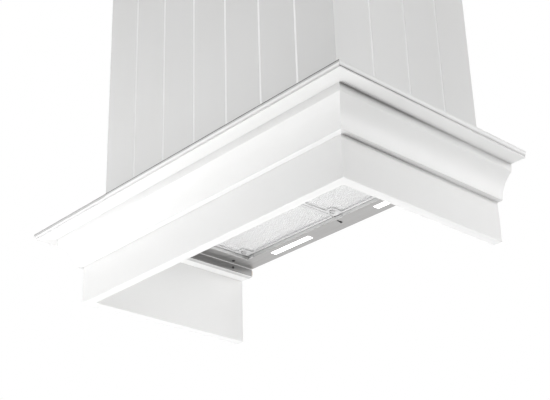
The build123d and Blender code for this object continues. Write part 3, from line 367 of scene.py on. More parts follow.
ALONG_X = (0.0, 0.0, 0.0)
ALONG_Y = (0.0, 0.0, math.pi / 2)
ALONG_Z = (0.0, math.pi / 2, 0.0)
NO_STRETCH = (1.0, 1.0, 1.0)
GRAIN_STRETCH = (0.12, 1.0, 1.0)
DUST = (0.5, 0.48, 0.45, 1.0)


def grain_place(n, place, direction):
    return n.stretch(n.stretch(place, NO_STRETCH, direction), GRAIN_STRETCH)


# Tones of the lacquer, with its painted light, painted shade and painted highlights
WHITE = 0.83
SHELF_WHITE = 0.93
PAINTED_LIGHT_WHITE = 0.97
PAINTED_LIGHT_LEFT = 0.45
PLANK_SHADE_LEFT = 0.11
PLANK_SHADE_BACK = 0.14
JOINT_HIGHLIGHT_WHITE = 0.96
JOINT_HIGHLIGHT_METALLIC = 0.22
JOINT_HIGHLIGHT_ADDED_IN_FRONT = 0.38
PAINTED_SHADE_DARK = 0.12
NOSE_LINE_END = -0.232
CORNER_DARK = (0.2, 0.19, 0.19)
CORNER_REACH = 0.02


def lacquered(name, direction, raw_inside=None, joints=None, edge=None, fresh=None, corners=0.0,
              white=WHITE):
    """White satin lacquer over wood. raw_inside gives the mask of bare wood, joints the masks of the
    V joints' chamfers, which get a painted highlight, edge that of painted shade and fresh that of
    painted light. corners is how far painted shade gathers in the corners."""
    material, n, shader, place = new_material(name)
    grain = grain_place(n, place, direction)
    film = use_group(n, lacquer_group, {"Color": rgba((white, white, white - 0.005)),
                                        "Shade": rgba((white - 0.03, white - 0.035, white - 0.045)),
                                        "Place": place, "Grain Place": grain, "Gloss": 0.34})
    color, rough = film.outputs["Color"], film.outputs["Roughness"]
    if raw_inside:
        bare = raw_inside(n, place)
        wood = use_group(n, wood_group, {"Early": rgba((0.72, 0.58, 0.41)),
                                         "Late": rgba((0.58, 0.42, 0.26)), "Grain Place": grain})
        color = n.mix(bare, color, wood.outputs["Color"])
        rough = n.math("MULTIPLY_ADD", bare, 0.2, rough)
    if joints:
        joint, on_front = joints(n, place)
        # Painted highlight: the V joints' chamfers are whiter, and metallic so that they mirror the white
        # surroundings.
        color = n.mix(joint, color, rgba(JOINT_HIGHLIGHT_WHITE))
        highlight_metallic = n.math("MULTIPLY_ADD", on_front, JOINT_HIGHLIGHT_ADDED_IN_FRONT, JOINT_HIGHLIGHT_METALLIC)
        n.fill(shader, {"Metallic": n.math("MULTIPLY", joint, highlight_metallic)})
    if fresh:
        # Painted light: a whiter colour on the mask's region, where more light falls.
        color = n.mix(fresh(n, place), color, rgba(PAINTED_LIGHT_WHITE))
    if edge:
        # Painted shade: darker on the mask's region, such as the top of the cap's nose and parts of the
        # planks.
        color = n.mix(edge(n, place), color, rgba(PAINTED_SHADE_DARK))
    if corners:
        open_sky = n.add("ShaderNodeAmbientOcclusion", {"Distance": corners}, samples=8).outputs["AO"]
        strength = n.math("MULTIPLY_ADD", n.ramp(n.axes(place)["Y"], -0.1, -0.56), 1.25, 0.35)
        shade = n.math("MULTIPLY", n.math("SUBTRACT", 1.0, n.ramp(open_sky, 0.35, 0.88)), strength)
        color = n.mix(n.math("MINIMUM", shade, 0.9), color, rgba(CORNER_DARK))
    finish(n, shader, color, rough)
    bump(n, shader, film.outputs["Height"], 0.12, 0.0004)
    return material


def joint_faces(n, place):
    """The chamfers of the V joints, just behind the planks' outer faces, and which of them face the
    room."""
    axes = n.axes(place)
    from_front = n.math("ADD", axes["Y"], -CHIMNEY_FRONT)
    from_side = n.math("SUBTRACT", CHIMNEY_HALF, n.math("ABSOLUTE", axes["X"]))
    depth = n.math("MINIMUM", from_front, from_side)
    shallow, deep = JOINT_DEPTHS
    chamfer = n.math("MULTIPLY", n.math("GREATER_THAN", depth, shallow), n.math("LESS_THAN", depth, deep))
    return chamfer, n.math("LESS_THAN", from_front, from_side)


def painted_light_front(n, place):
    """Painted light: the front mouldings are whiter towards the left end and under the crown's foot."""
    axes = n.axes(place)
    left = n.math("MULTIPLY", n.ramp(axes["X"], 0.3, -0.4), PAINTED_LIGHT_LEFT)
    return n.math("MAXIMUM", left, n.math("LESS_THAN", axes["Z"], CROWN_FOOT))


def plank_painted_shade(n, place):
    """Painted shade: the planks are a little greyer towards the left and towards the wall."""
    axes = n.axes(place)
    left = n.math("MULTIPLY", n.ramp(axes["X"], 0.3, -0.42), PLANK_SHADE_LEFT)
    back = n.math("MULTIPLY", n.ramp(axes["Y"], -0.42, -0.08), PLANK_SHADE_BACK)
    return n.math("MAXIMUM", left, back)


def nose_painted_shade(n, place):
    """Painted shade on the cap's rounded nose: greyer towards its top. Most of it has a thin painted
    dark shadow line there, but the left end has a wider painted grey instead."""
    axes = n.axes(place)
    height = axes["Z"]
    left = n.ramp(axes["X"], NOSE_LINE_END, NOSE_LINE_END - 0.01)
    shifted = n.math("MULTIPLY_ADD", left, 0.0012, height)
    grey = n.math("MULTIPLY", n.ramp(shifted, NOSE_GREY, NOSE_GREY + 0.002),
                  n.math("MULTIPLY_ADD", left, 0.14, 0.38))
    line = n.math("MULTIPLY", n.ramp(height, NOSE_TOP - 0.0038, NOSE_TOP - 0.003),
                  n.math("MULTIPLY_ADD", left, -0.5, 0.57))
    return n.math("MULTIPLY", n.math("ADD", grey, line), n.math("LESS_THAN", height, NOSE_TOP))


def inside_chimney(n, place):
    """Bare wood on the planks' inner faces, a few millimetres behind the painted outside."""
    axes = n.axes(place)
    across = n.math("LESS_THAN", n.math("ABSOLUTE", axes["X"]), CHIMNEY_HALF - PLANK_THICK)
    deep = n.math("GREATER_THAN", axes["Y"], CHIMNEY_FRONT + PLANK_THICK)
    return n.math("MULTIPLY", across, deep)


def above_shelf(n, place):
    """Bare wood on top of the shelf, where the chimney covers it."""
    above = n.math("GREATER_THAN", n.axes(place)["Z"], SHELF_TOP)
    return n.math("MULTIPLY", above, inside_chimney(n, place))


def bare_wood(name, direction):
    material, n, shader, place = new_material(name)
    wood = use_group(n, wood_group, {"Early": rgba((0.74, 0.58, 0.38)), "Late": rgba((0.56, 0.38, 0.21)),
                                     "Grain Place": grain_place(n, place, direction)})
    finish(n, shader, wood.outputs["Color"], wood.outputs["Roughness"])
    bump(n, shader, wood.outputs["Height"], 0.25, 0.0005)
    return material


def brushed(name, light, dark, gloss, direction, metallic=1.0, depth=0.15):
    material, n, shader, place = new_material(name)
    sheet = use_group(n, brushed_group, {"Color": rgba(light), "Dark": rgba(dark), "Gloss": gloss,
                                         "Place": n.stretch(place, NO_STRETCH, direction)})
    finish(n, shader, sheet.outputs["Color"], sheet.outputs["Roughness"], metallic)
    bump(n, shader, sheet.outputs["Height"], depth, 0.0002)
    return material


def filter_channel():
    """Brushed channel of the filter frames. The edge of its lower lip has painted light: a whiter,
    less metallic colour over the shadow line there.
    """
    material, n, shader, place = new_material("filter_channel")
    lip_painted_light = n.math("GREATER_THAN", n.axes(place)["Z"], FILTER_FACE + 0.0002)
    sheet = use_group(n, brushed_group, {"Color": rgba(0.7), "Dark": rgba(0.64), "Gloss": 0.4,
                                         "Place": place})
    # Painted light along the lip's edge: whiter and less metallic.
    finish(n, shader, n.mix(lip_painted_light, sheet.outputs["Color"], rgba(0.98)), sheet.outputs["Roughness"],
           n.math("MULTIPLY_ADD", lip_painted_light, -0.45, 0.6))
    bump(n, shader, sheet.outputs["Height"], 0.15, 0.0002)
    return material


def zinc(name, light, dark, size):
    material, n, shader, place = new_material(name)
    sheet = use_group(n, spangle_group, {"Color": rgba(light), "Dark": rgba(dark), "Place": place,
                                         "Size": size})
    dust = use_group(n, dust_group, {"Place": place, "Amount": 0.35}).outputs["Mask"]
    finish(n, shader, n.mix(dust, sheet.outputs["Color"], DUST),
           n.math("MAXIMUM", sheet.outputs["Roughness"], dust), n.math("SUBTRACT", 1.0, dust))
    bump(n, shader, sheet.outputs["Height"], 0.05, 0.0003)
    return material


def grained(name, color, rubbed, gloss, size=1400.0, metallic=0.0, dusty=0.0):
    material, n, shader, place = new_material(name)
    skin = use_group(n, grain_group, {"Color": rgba(color), "Rubbed": rgba(rubbed), "Place": place,
                                      "Size": size, "Gloss": gloss})
    dust = use_group(n, dust_group, {"Place": place, "Amount": dusty}).outputs["Mask"]
    finish(n, shader, n.mix(dust, skin.outputs["Color"], DUST),
           n.math("MAXIMUM", skin.outputs["Roughness"], dust), metallic)
    bump(n, shader, skin.outputs["Height"], 0.2, 0.0002)
    return material


def liner_sheet():
    """Brushed steel of the liner. Its end skirts are brushed the other way and are painted darker as painted
    shade, while the lip below them, the fold above them and the step up to the filters have painted
    highlights."""
    material, n, shader, place = new_material("liner_steel")
    axes = n.axes(place)
    across, height = n.math("ABSOLUTE", axes["X"]), axes["Z"]
    lip = n.math("LESS_THAN", height, LIP_TOP)
    skirt = n.math("MULTIPLY", n.math("GREATER_THAN", across, SKIRT_INSIDE), n.math("SUBTRACT", 1.0, lip))
    raised = n.math("MULTIPLY", n.math("LESS_THAN", across, OPENING_HALF),
                    n.math("GREATER_THAN", height, STEP_FOOT))
    step = n.math("MULTIPLY", raised, n.math("LESS_THAN", axes["Y"], OPENING_BACK))
    fold = n.math("MULTIPLY", n.math("GREATER_THAN", across, FOLD_INSIDE),
                  n.math("GREATER_THAN", height, FOLD_FOOT))
    # Painted highlights: the lip, the fold and the step are mixed towards a light grey.
    bright = n.math("MAXIMUM", n.math("MULTIPLY", lip, 0.6),
                    n.math("MULTIPLY", n.math("MAXIMUM", fold, step), 0.5))
    face = use_group(n, brushed_group, {"Color": rgba((0.5, 0.495, 0.49)),
                                        "Dark": rgba((0.42, 0.415, 0.41)), "Gloss": 0.26, "Place": place})
    # The skirts are brushed along Y, and their darker colours are painted shade.
    upright = use_group(n, brushed_group, {"Color": rgba((0.28, 0.278, 0.275)),
                                           "Dark": rgba((0.19, 0.189, 0.187)), "Gloss": 0.34,
                                           "Place": n.stretch(place, NO_STRETCH, ALONG_Y)})
    color = n.mix(skirt, face.outputs["Color"], upright.outputs["Color"])
    rough = n.add("ShaderNodeMix", {0: skirt, 2: face.outputs["Roughness"], 3: upright.outputs["Roughness"]})
    finish(n, shader, n.mix(bright, color, rgba(0.84)), rough.outputs[0], 1.0)
    bump(n, shader, face.outputs["Height"], 0.12, 0.0002)
    return material


LENS_GLOW = 1.6


def glowing_lens():
    """Frosted lens of a light bar that is switched on, with fine prisms across it."""
    material, n, shader, place = new_material("lit_lens")
    prisms = n.add("ShaderNodeTexWave", {"Vector": place, "Scale": 160.0, "Distortion": 0.0},
                   wave_type="BANDS", bands_direction="X").outputs["Fac"]
    glow = n.mix(n.math("MULTIPLY", prisms, 0.2), rgba(1.0), rgba((0.96, 0.97, 1.0)))
    finish(n, shader, n.mix(n.noise(place, 60.0, 2.0, 0.5), rgba(0.93), rgba(0.86)), 0.45)
    n.fill(shader, {"Emission Color": glow, "Emission Strength": LENS_GLOW})
    bump(n, shader, prisms, 0.3, 0.0003)
    return material


paint_front = lacquered("lacquer_along_x", ALONG_X)
paint_side = lacquered("lacquer_along_y", ALONG_Y)
paint_side_shaded = lacquered("lacquer_side_shaded", ALONG_Y, corners=CORNER_REACH)
paint_crown_front = lacquered("lacquer_crown_along_x", ALONG_X, fresh=painted_light_front)
paint_cap_front = lacquered("lacquer_cap_along_x", ALONG_X, edge=nose_painted_shade, fresh=painted_light_front)
paint_plank = lacquered("lacquer_plank", ALONG_Z, inside_chimney, joint_faces, plank_painted_shade)
paint_shelf = lacquered("lacquer_shelf", ALONG_X, above_shelf, white=SHELF_WHITE)
wood_upright = bare_wood("softwood_upright", ALONG_Z)
wood_across = bare_wood("softwood_across", ALONG_X)
wood_deep = bare_wood("softwood_deep", ALONG_Y)
filter_steel = filter_channel()
polished_latch = brushed("polished_latch", 0.74, 0.62, 0.12, ALONG_Y, depth=0.05)
spring_steel = brushed("spring_steel", (0.5, 0.5, 0.51), (0.33, 0.33, 0.34), 0.28, ALONG_Y)
lamp_metal = grained("cast_lamp_tray", (0.62, 0.62, 0.63), (0.7, 0.7, 0.71), 0.38, 900.0, 1.0, 0.5)
switch_plastic = grained("switch_plastic", (0.012, 0.012, 0.013), 0.03, 0.45)
slider_plastic = grained("slider_plastic", (0.014, 0.014, 0.015), 0.04, 0.4)
galvanised = zinc("galvanised_sheet", (0.62, 0.64, 0.66), (0.46, 0.48, 0.5), 90.0)
wiring_paint = grained("wiring_box_powder", (0.36, 0.37, 0.38), (0.44, 0.45, 0.46), 0.5, 1100.0, 0.0, 0.6)
wheel_coat = grained("wheel_dip_coat", (0.06, 0.065, 0.07), (0.12, 0.125, 0.13), 0.35, 700.0, 0.3, 0.4)
ground_steel = brushed("ground_steel", 0.6, 0.45, 0.18, ALONG_X)
motor_coat = grained("motor_enamel", (0.02, 0.02, 0.022), (0.05, 0.05, 0.052), 0.3, 600.0, 0.0, 0.7)
flap_metal = brushed("flap_aluminium", (0.72, 0.73, 0.74), (0.6, 0.61, 0.62), 0.32, ALONG_X)
screw_metal = brushed("screw_steel", 0.6, 0.4, 0.25, ALONG_X)
screw_zinc = zinc("screw_zinc", (0.66, 0.65, 0.58), (0.5, 0.49, 0.42), 600.0)

# What each start of a node's name is painted with. Later rows overrule earlier ones.
finishes = [
    (("apron_front",), paint_front),
    (("crown_front",), paint_crown_front),
    (("cap_front",), paint_cap_front),
    (("apron_left", "apron_right"), paint_side),
    (("crown_left", "crown_right", "cap_left", "cap_right"), paint_side_shaded),
    (("front_board", "left_board", "right_board"), paint_plank),
    (("insert_shelf",), paint_shelf),
    (("corner_post",), wood_upright),
    (("top_rail_front", "wall_rail"), wood_across),
    (("top_rail_left", "top_rail_right"), wood_deep),
    (("liner",), liner_sheet()),
    (("filter_frame",), filter_steel),
    (("filter_latch",), polished_latch),
    (("latch_keeper",), spring_steel),
    (("light_lens",), glowing_lens()),
    (("lamp_tray",), lamp_metal),
    (("switch_body",), switch_plastic),
    (("speed_slider",), slider_plastic),
    (("plenum_box", "blower_scroll", "discharge_box", "duct_collar"), galvanised),
    (("wiring_box",), wiring_paint),
    (("impeller",), wheel_coat),
    (("motor",), motor_coat),
    (("motor_shaft", "damper_spindle"), ground_steel),
    (("damper_flap",), flap_metal),
    (("liner_screws",), screw_metal),
    (("blower_screws",), screw_zinc),
]
for starts, material in finishes:
    for name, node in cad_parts.items():
        if name.startswith(starts):
            for holder in node.material_slots:
                holder.material = material


# The liner's folds are rounded
FOLD_WIDTH = 0.0005
FOLD_LEAST_ANGLE = math.radians(50)

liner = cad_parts["liner"]
weld = liner.modifiers.new("weld", "WELD")
weld.merge_threshold = 0.00002
folds = liner.modifiers.new("folds", "BEVEL")
folds.width = FOLD_WIDTH
folds.segments = 2
folds.limit_method = "ANGLE"
folds.angle_limit = FOLD_LEAST_ANGLE


def new_piece(name, mesh_builder, material, body, slot_name, *replaced):
    """Makes an object from a bmesh, gives it its material and hangs it on its CAD body."""
    mesh = bpy.data.meshes.new(name)
    mesh_builder.to_mesh(mesh)
    mesh_builder.free()
    piece = bpy.data.objects.new(name, mesh)
    bpy.context.scene.collection.objects.link(piece)
    mesh.materials.append(material)
    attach(piece, body)
    if replaced:
        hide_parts(*replaced)
    return piece


# Filling of the grease filters
MESH_LONG = 0.012
MESH_SHORT = 0.007
MESH_MARGIN = Vector((0.0015, 0.0015, 0.0))
STRAND_THICK = 0.0006
STRAND_WIDE = 0.0011
PLEAT_PITCH = 0.008
PLEAT_STEPS = 8


def strand_layer(bm, low, high, height):
    """One sheet of expanded metal: zigzag strands that meet their neighbours at the points."""
    rows = int((high.y - low.y) / (MESH_SHORT / 2)) - 1
    steps = int((high.x - low.x) / (MESH_LONG / 2))
    middle = (low.x + high.x) / 2
    for row in range(rows):
        y = low.y + (row + 1) * MESH_SHORT / 2
        made = bmesh.ops.create_grid(bm, x_segments=steps, y_segments=1, size=0.5)
        for vert in made["verts"]:
            step = round((vert.co.x + 0.5) * steps)
            lean = MESH_SHORT / 4 if (step + row) % 2 else -MESH_SHORT / 4
            edge = STRAND_WIDE / 2 if vert.co.y > 0 else -STRAND_WIDE / 2
            vert.co = Vector((middle + (step - steps / 2) * MESH_LONG / 2, y + lean + edge, height))


def pleated_layer(bm, low, high, height, depth):
    """An inner sheet folded into soft pleats that run from front to back."""
    steps = int((high.x - low.x) / PLEAT_PITCH) * PLEAT_STEPS
    made = bmesh.ops.create_grid(bm, x_segments=steps, y_segments=1, size=0.5)
    for vert in made["verts"]:
        wave = math.cos(2 * math.pi * (vert.co.x + 0.5) * steps / PLEAT_STEPS)
        vert.co = Vector((low.x + (vert.co.x + 0.5) * (high.x - low.x),
                          low.y + (vert.co.y + 0.5) * (high.y - low.y), height + wave * depth / 2))


def filter_fill(side):
    """The strands and pleats of one filter. The strands take the plain mesh pad's place."""
    low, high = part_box("filter_mesh_" + side)
    low, high = Vector(low) + MESH_MARGIN, Vector(high) - MESH_MARGIN
    strands = bmesh.new()
    for height in (low.z + 0.0002, low.z + 0.0012, high.z - 0.0008):
        strand_layer(strands, low, high, height)
    outer = new_piece("filter_strands_" + side, strands, strand_metal, "filter_" + side, "filter_mesh",
                      "filter_mesh_" + side)
    pleats = bmesh.new()
    pleated_layer(pleats, low, high, low.z + 0.0034, 0.0022)
    pleated_layer(pleats, low, high, high.z - 0.0026, 0.0018)
    inner = new_piece("filter_pleats_" + side, pleats, pleat_metal, "filter_" + side, "filter_mesh")
    for piece in (outer, inner):
        solid = piece.modifiers.new("sheet", "SOLIDIFY")
        solid.thickness = STRAND_THICK / 2
        solid.offset = 1.0


def pleat_material():
    """Knitted inner layers, seen between the strands: crossed threads with bright and dull spots."""
    material, n, shader, place = new_material("knitted_aluminium")
    pitch = 2 * math.pi / MESH_LONG
    axes = n.axes(place)
    slant = n.math("MULTIPLY", axes["Y"], MESH_LONG / MESH_SHORT)
    one = n.math("SINE", n.math("MULTIPLY", n.math("ADD", axes["X"], slant), pitch * 1.7))
    two = n.math("SINE", n.math("MULTIPLY", n.math("SUBTRACT", axes["X"], slant), pitch * 1.7))
    tangle = n.noise(place, 420.0, 3.0, 0.7)
    tone = n.ramp(n.math("MULTIPLY_ADD", tangle, 0.9, n.math("MAXIMUM", one, two)), 0.2, 1.5)
    finish(n, shader, n.mix(tone, rgba(0.82), rgba(0.97)), n.math("MULTIPLY_ADD", tangle, 0.3, 0.3), 0.75)
    bump(n, shader, tone, 0.5, 0.0006)
    return material


strand_metal = brushed("strand_aluminium", 0.97, 0.91, 0.34, ALONG_X, 0.75)
pleat_metal = pleat_material()
for side in ("left", "right"):
    filter_fill(side)


# Turned and folded details
def turned(bm, profile, steps, place):
    """Spins a profile of (radius, height) pairs round Z, then sets the result in place."""
    line = [bm.verts.new((radius, 0.0, height)) for radius, height in profile]
    edges = [bm.edges.new(pair) for pair in zip(line, line[1:])]
    before = set(bm.verts) - set(line)
    bmesh.ops.spin(bm, geom=line + edges, cent=(0, 0, 0), axis=(0, 0, 1), angle=2 * math.pi, steps=steps,
                   use_merge=True)
    made = [vert for vert in bm.verts if vert not in before]
    bmesh.ops.transform(bm, matrix=place, verts=made)


def closed(bm):
    """Welds what an operator left doubled and turns the faces outwards."""
    bmesh.ops.remove_doubles(bm, verts=bm.verts, dist=0.000005)
    bmesh.ops.recalc_face_normals(bm, faces=bm.faces)
    return bm


def seat(position, outward):
    """Places something modelled round Z so that its Z points along outward."""
    turn = Vector(outward).to_track_quat("Z", "Y").to_matrix().to_4x4()
    return Matrix.Translation(position) @ turn


CROSS_GRID = 14


def cross_head(bm, radius, high, place):
    """A domed screw head: a grid drawn out to a disc, with a cross recess pressed into it."""
    made = bmesh.ops.create_grid(bm, x_segments=CROSS_GRID, y_segments=CROSS_GRID, size=1.0)["verts"]
    for vert in made:
        x, y = vert.co.x, vert.co.y
        across, along = min(abs(x), abs(y)), max(abs(x), abs(y))
        spot = Vector((x * math.sqrt(1 - y * y / 2), y * math.sqrt(1 - x * x / 2), 0.0))
        dome = high * (0.45 + 0.55 * math.sqrt(max(0.0, 1 - 0.96 * spot.length_squared)))
        depth = high * 0.75 * (1 - along) if across < 0.1 and along < 0.62 else 0.0
        vert.co = Vector((spot.x * radius, spot.y * radius, dome - depth))
    rim = [edge for edge in bm.edges if edge.is_boundary and all(vert in set(made) for vert in edge.verts)]
    skirt = bmesh.ops.extrude_edge_only(bm, edges=rim)["geom"]
    foot = [item for item in skirt if isinstance(item, bmesh.types.BMVert)]
    for vert in foot:
        vert.co.z = 0.0
    bmesh.ops.transform(bm, matrix=place, verts=made + foot)


def screw_shank(bm, radius, long, place):
    """A shank below the seat, with ridges for its thread and a blunt point."""
    turns = int(long / 0.001)
    profile = [(radius, 0.0)]
    for turn in range(turns):
        top = -long * (turn + 0.5) / turns
        profile += [(radius, top), (radius * 0.8, top - long * 0.25 / turns)]
    profile += [(radius * 0.7, -long + 0.0002), (0.0, -long)]
    turned(bm, profile, 12, place)


def smooth(piece, degrees=35.0):
    """Smooth shading, with the edges sharper than the angle kept hard."""
    limit = math.radians(degrees)
    bm = bmesh.new()
    bm.from_mesh(piece.data)
    for edge in bm.edges:
        edge.smooth = len(edge.link_faces) == 2 and edge.calc_face_angle(math.pi) < limit
    for face in bm.faces:
        face.smooth = True
    bm.to_mesh(piece.data)
    bm.free()


# Screws of the liner's margins and end skirts
MARGIN_SCREWS = [(x, y) for x in (-0.368, 0.368) for y in (-0.087, -0.210)]
SKIRT_SCREWS = [(x, y) for x in (-0.384, 0.384) for y in (-0.075, -0.225)]
SKIRT_SCREW_HEIGHT = -0.388

black_phosphate = grained("black_phosphate", (0.01, 0.01, 0.011), 0.03, 0.5)
margin_screws = bmesh.new()
for x, y in MARGIN_SCREWS:
    down = seat((x, y, LINER_FACE), (0, 0, -1))
    cross_head(margin_screws, 0.0042, 0.0022, down)
    screw_shank(margin_screws, 0.002, 0.007, down)
smooth(new_piece("margin_screws", closed(margin_screws), black_phosphate, "casing", "screw_steel",
                 "liner_screws"))

skirt_screws = bmesh.new()
for x, y in SKIRT_SCREWS:
    cross_head(skirt_screws, 0.0036, 0.0018, seat((x, y, SKIRT_SCREW_HEIGHT), (-math.copysign(1, x), 0, 0)))
smooth(new_piece("skirt_screws", closed(skirt_screws), black_phosphate, "casing", "screw_steel"))


# Hexagon screws on the blower and the discharge box
HEXAGON_RADIUS = 0.0041
HEXAGON_HIGH = 0.0022
WASHER = ((0.0, 0.0), (0.0054, 0.0), (0.0054, 0.0005), (0.0048, 0.0008), (0.0, 0.0008))


def hexagon_screw(bm, centre, radius, height, degrees):
    """Hexagon head with a pressed dish, on its washer, and its shank. It stands upright on a circle
    of the radius round the centre."""
    turn = math.radians(degrees)
    place = seat(centre + Vector((radius * math.cos(turn), radius * math.sin(turn), height)), (0, 0, 1))
    turned(bm, WASHER, 24, place)
    head = bmesh.ops.create_cone(bm, cap_ends=True, segments=6, radius1=HEXAGON_RADIUS,
                                 radius2=HEXAGON_RADIUS, depth=HEXAGON_HIGH)["verts"]
    top = [face for face in bm.faces
           if all(vert in set(head) for vert in face.verts) and face.normal.z > 0.9]
    bmesh.ops.inset_region(bm, faces=top, thickness=0.0008)
    dish = bmesh.ops.inset_region(bm, faces=top, thickness=0.0004, depth=-0.0005)["faces"]
    made = list({vert for face in top + dish for vert in face.verts} | set(head) |
                {other for vert in head for edge in vert.link_edges for other in edge.verts})
    bmesh.ops.transform(bm, matrix=place @ Matrix.Translation((0, 0, 0.0019)), verts=made)
    screw_shank(bm, 0.002, 0.006, place)


hexagons = bmesh.new()
for degrees in (90, 210, 330):
    hexagon_screw(hexagons, BLOWER, 0.058, -0.199, degrees)
for degrees in (45, 135, 225, 315):
    hexagon_screw(hexagons, COLLAR, 0.092, -0.2008, degrees)
smooth(new_piece("hexagon_screws", closed(hexagons), screw_zinc, "casing", "screw_zinc", "blower_screws"))


# Beads rolled into the collar
BEAD = ((0.0748, -0.0022), (0.0758, -0.0016), (0.0764, 0.0), (0.0758, 0.0016), (0.0748, 0.0022))
BEAD_HEIGHTS = (-0.1195, -0.1285, -0.196)

collar_beads = bmesh.new()
for height in BEAD_HEIGHTS:
    turned(collar_beads, BEAD, 96, Matrix.Translation(COLLAR + Vector((0, 0, height))))
smooth(new_piece("collar_beads", closed(collar_beads), galvanised, "casing", "galvanised"), 60.0)


# Rivets along the plenum and the discharge box
RIVET = ((0.0, 0.0009), (0.0009, 0.00085), (0.0017, 0.0005), (0.0021, 0.0), (0.0, 0.0))
PLENUM_FRONT = -0.2958
PLENUM_HALF = 0.382
PLENUM_ROWS = (-0.321, -0.366)
FRONT_RIVETS = [-0.366 + step * 0.061 for step in range(13)]
SIDE_RIVETS = [-0.27 + step * 0.06 for step in range(5)]
DISCHARGE_FRONT = -0.295
DISCHARGE_RIVETS = [(x, height) for height in (-0.303, -0.26, -0.212) for x in (-0.072, 0.072)]


def rivet(bm, position, outward):
    turned(bm, RIVET, 12, seat(position, outward))


rivets = bmesh.new()
for x in FRONT_RIVETS:
    for height in PLENUM_ROWS:
        rivet(rivets, (x, PLENUM_FRONT, height), (0, -1, 0))
for side in (-1, 1):
    for y in SIDE_RIVETS:
        for height in PLENUM_ROWS:
            rivet(rivets, (side * PLENUM_HALF, y, height), (side, 0, 0))
for x, height in DISCHARGE_RIVETS:
    rivet(rivets, (x, DISCHARGE_FRONT, height), (0, -1, 0))
smooth(new_piece("sheet_rivets", closed(rivets), screw_metal, "casing", "screw_steel"))


# Wiring box: lid screws, knock-outs, a bushing in the cable hole, and the motor's lead
lid_screws = bmesh.new()
for x in (-0.049, 0.049):
    for y in (-0.034, 0.034):
        cross_head(lid_screws, 0.0035, 0.0018, seat(WIRING + Vector((x, y, LID_TOP)), (0, 0, 1)))
smooth(new_piece("lid_screws", closed(lid_screws), screw_zinc, "casing", "screw_zinc"))

KNOCK_OUTS = (((0.19, -0.13, -0.292), (0, -1, 0)), ((0.25, -0.13, -0.292), (0, -1, 0)),
              ((0.275, -0.09, -0.292), (1, 0, 0)))

knock_outs = bmesh.new()
for position, outward in KNOCK_OUTS:
    for radius in (0.0085, 0.0115):
        ridge = [(radius - 0.0006, 0.0), (radius - 0.0004, 0.0004), (radius + 0.0004, 0.0004),
                 (radius + 0.0006, 0.0)]
        turned(knock_outs, ridge, 32, seat(position, outward))
smooth(new_piece("knock_outs", closed(knock_outs), wiring_paint, "casing", "wiring_box"))

BUSHING = ((0.0078, -0.004), (0.0106, -0.004), (0.0106, 0.0), (0.0138, 0.0), (0.0142, 0.0008),
           (0.0134, 0.0022), (0.0095, 0.0026), (0.0078, 0.0012), (0.0078, -0.004))

bushing = bmesh.new()
turned(bushing, BUSHING, 40, Matrix.Translation(WIRING + Vector((0, 0, LID_TOP))))
smooth(new_piece("cable_bushing", closed(bushing), switch_plastic, "casing", "black_plastic"))

CABLE_RADIUS = 0.0032
CABLE_SIDES = 12
CABLE_SMOOTHING = 3
LEAD_CORNERS = (
    (0.168, -0.09, -0.3), (0.145, -0.09, -0.3), (0.12, -0.09, -0.3092), (-0.03, -0.092, -0.3092),
    (-0.058, -0.095, -0.305), (-0.06, -0.1, -0.215), (-0.075, -0.105, -0.198), (-0.13, -0.12, -0.1978),
    (-0.15, -0.128, -0.188), (-0.17, -0.135, -0.18))


def cable(bm, corners, radius):
    """A round cable: its corners are cut until they run smoothly, and a ring is drawn along them."""
    path = [Vector(corner) for corner in corners]
    for _ in range(CABLE_SMOOTHING):
        cut = [path[0]]
        for one, two in zip(path, path[1:]):
            cut += [one.lerp(two, 0.25), one.lerp(two, 0.75)]
        path = cut + [path[-1]]
    ring = bmesh.ops.create_circle(bm, cap_ends=False, segments=CABLE_SIDES, radius=radius)["verts"]
    local = [vert.co.copy() for vert in ring]
    edges = list({edge for vert in ring for edge in vert.link_edges})
    for index, point in enumerate(path):
        along = (path[min(index + 1, len(path) - 1)] - path[max(index - 1, 0)]).normalized()
        turn = along.to_track_quat("Z", "Y").to_matrix()
        for vert, spot in zip(ring, local):
            vert.co = point + turn @ spot
        if index == len(path) - 1:
            break
        grown = bmesh.ops.extrude_edge_only(bm, edges=edges)["geom"]
        fresh = [item for item in grown if isinstance(item, bmesh.types.BMVert)]
        edges = [item for item in grown if isinstance(item, bmesh.types.BMEdge) and
                 all(vert in set(fresh) for vert in item.verts)]
        ring = sorted(fresh, key=lambda vert: min(range(CABLE_SIDES),
                                                  key=lambda k: (vert.co - point - turn @ local[k]).length))


motor_lead = bmesh.new()
cable(motor_lead, LEAD_CORNERS, CABLE_RADIUS)
cable_sheath = grained("cable_sheath", (0.3, 0.3, 0.31), 0.38, 0.45, 900.0)
smooth(new_piece("motor_lead", closed(motor_lead), cable_sheath, "casing", "black_plastic"), 60.0)


# A folded guard on each filter's back wall, which fills the latch's notch in the liner
GUARD_HALF = 0.0082
GUARD_EAR = 0.0013
GUARD_FRONT = -0.0629
GUARD_BACK = -0.0586
GUARD_FOOT = -0.37505
GUARD_SILL = -0.3691
GUARD_TOP = -0.3655


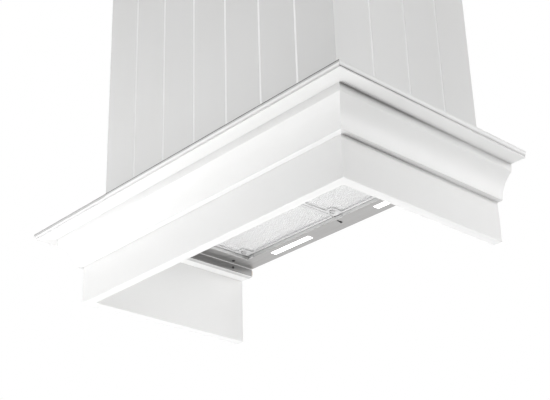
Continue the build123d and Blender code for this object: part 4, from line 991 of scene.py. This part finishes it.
def latch_guard(side, x):
    """An upright sheet with a gap for the latch between two ears, and a foot folded to the back."""
    bm = bmesh.new()
    columns = (x - GUARD_HALF, x - GUARD_HALF + GUARD_EAR, x + GUARD_HALF - GUARD_EAR, x + GUARD_HALF)
    heights = (GUARD_FOOT, GUARD_SILL, GUARD_TOP)
    made = bmesh.ops.create_grid(bm, x_segments=3, y_segments=2, size=1.0)["verts"]
    for vert in made:
        column, row = round((vert.co.x + 1) * 1.5), round(vert.co.y + 1)
        vert.co = Vector((columns[column], GUARD_FRONT, heights[row]))
    gap = [face for face in bm.faces if abs(face.calc_center_median().x - x) < 0.001 and
           face.calc_center_median().z > GUARD_SILL]
    bmesh.ops.delete(bm, geom=gap, context="FACES_ONLY")
    foot = [edge for edge in bm.edges if all(abs(vert.co.z - GUARD_FOOT) < 0.00001 for vert in edge.verts)]
    grown = bmesh.ops.extrude_edge_only(bm, edges=foot)["geom"]
    for item in grown:
        if isinstance(item, bmesh.types.BMVert):
            item.co.y = GUARD_BACK
    bmesh.ops.recalc_face_normals(bm, faces=bm.faces)
    guard = new_piece("latch_guard_" + side, bm, guard_steel, "filter_" + side, "liner_steel")
    sheet = guard.modifiers.new("sheet", "SOLIDIFY")
    sheet.thickness = 0.0008
    sheet.offset = 0.0


guard_steel = brushed("guard_steel", 0.68, 0.6, 0.26, ALONG_X)
for side, x in (("left", -0.3225), ("right", 0.017)):
    latch_guard(side, x)


# Floor
def floor_paint():
    """Pale floor that keeps the part's shadow. Metal and glass reflect it as plain white, and from
    below the camera sees through it."""
    material, n, shader, place = new_material("floor_pale")
    finish(n, shader, n.mix(n.noise(place, 0.8, 3.0, 0.5), rgba(0.8), rgba(0.84)), 0.9)
    path = n.add("ShaderNodeLightPath").outputs
    mirrored = n.math("MAXIMUM", path["Is Glossy Ray"], path["Is Transmission Ray"])
    seen = n.math("MULTIPLY", path["Is Camera Ray"], FLOOR_WHITENESS)
    white = n.add("ShaderNodeEmission", {"Strength": BACKGROUND_LEVEL})
    blend = n.add("ShaderNodeMixShader", {0: n.math("MAXIMUM", mirrored, seen), 1: shader.outputs[0],
                                          2: white.outputs[0]})
    from_below = n.add("ShaderNodeNewGeometry").outputs["Backfacing"]
    clear = n.add("ShaderNodeBsdfTransparent")
    shown = n.add("ShaderNodeMixShader", {0: n.math("MULTIPLY", from_below, path["Is Camera Ray"]),
                                          1: blend.outputs[0], 2: clear.outputs[0]})
    n.fill(material.node_tree.nodes["Material Output"], {"Surface": shown.outputs[0]})
    return material


floor_mesh = bmesh.new()
bmesh.ops.create_grid(floor_mesh, x_segments=1, y_segments=1, size=FLOOR_SIZE / 2)
bmesh.ops.translate(floor_mesh, vec=(0.0, 0.0, FLOOR_LEVEL), verts=floor_mesh.verts)
floor_data = bpy.data.meshes.new("floor")
floor_mesh.to_mesh(floor_data)
floor_mesh.free()
floor = bpy.data.objects.new("floor", floor_data)
bpy.context.scene.collection.objects.link(floor)
floor_data.materials.append(floor_paint())
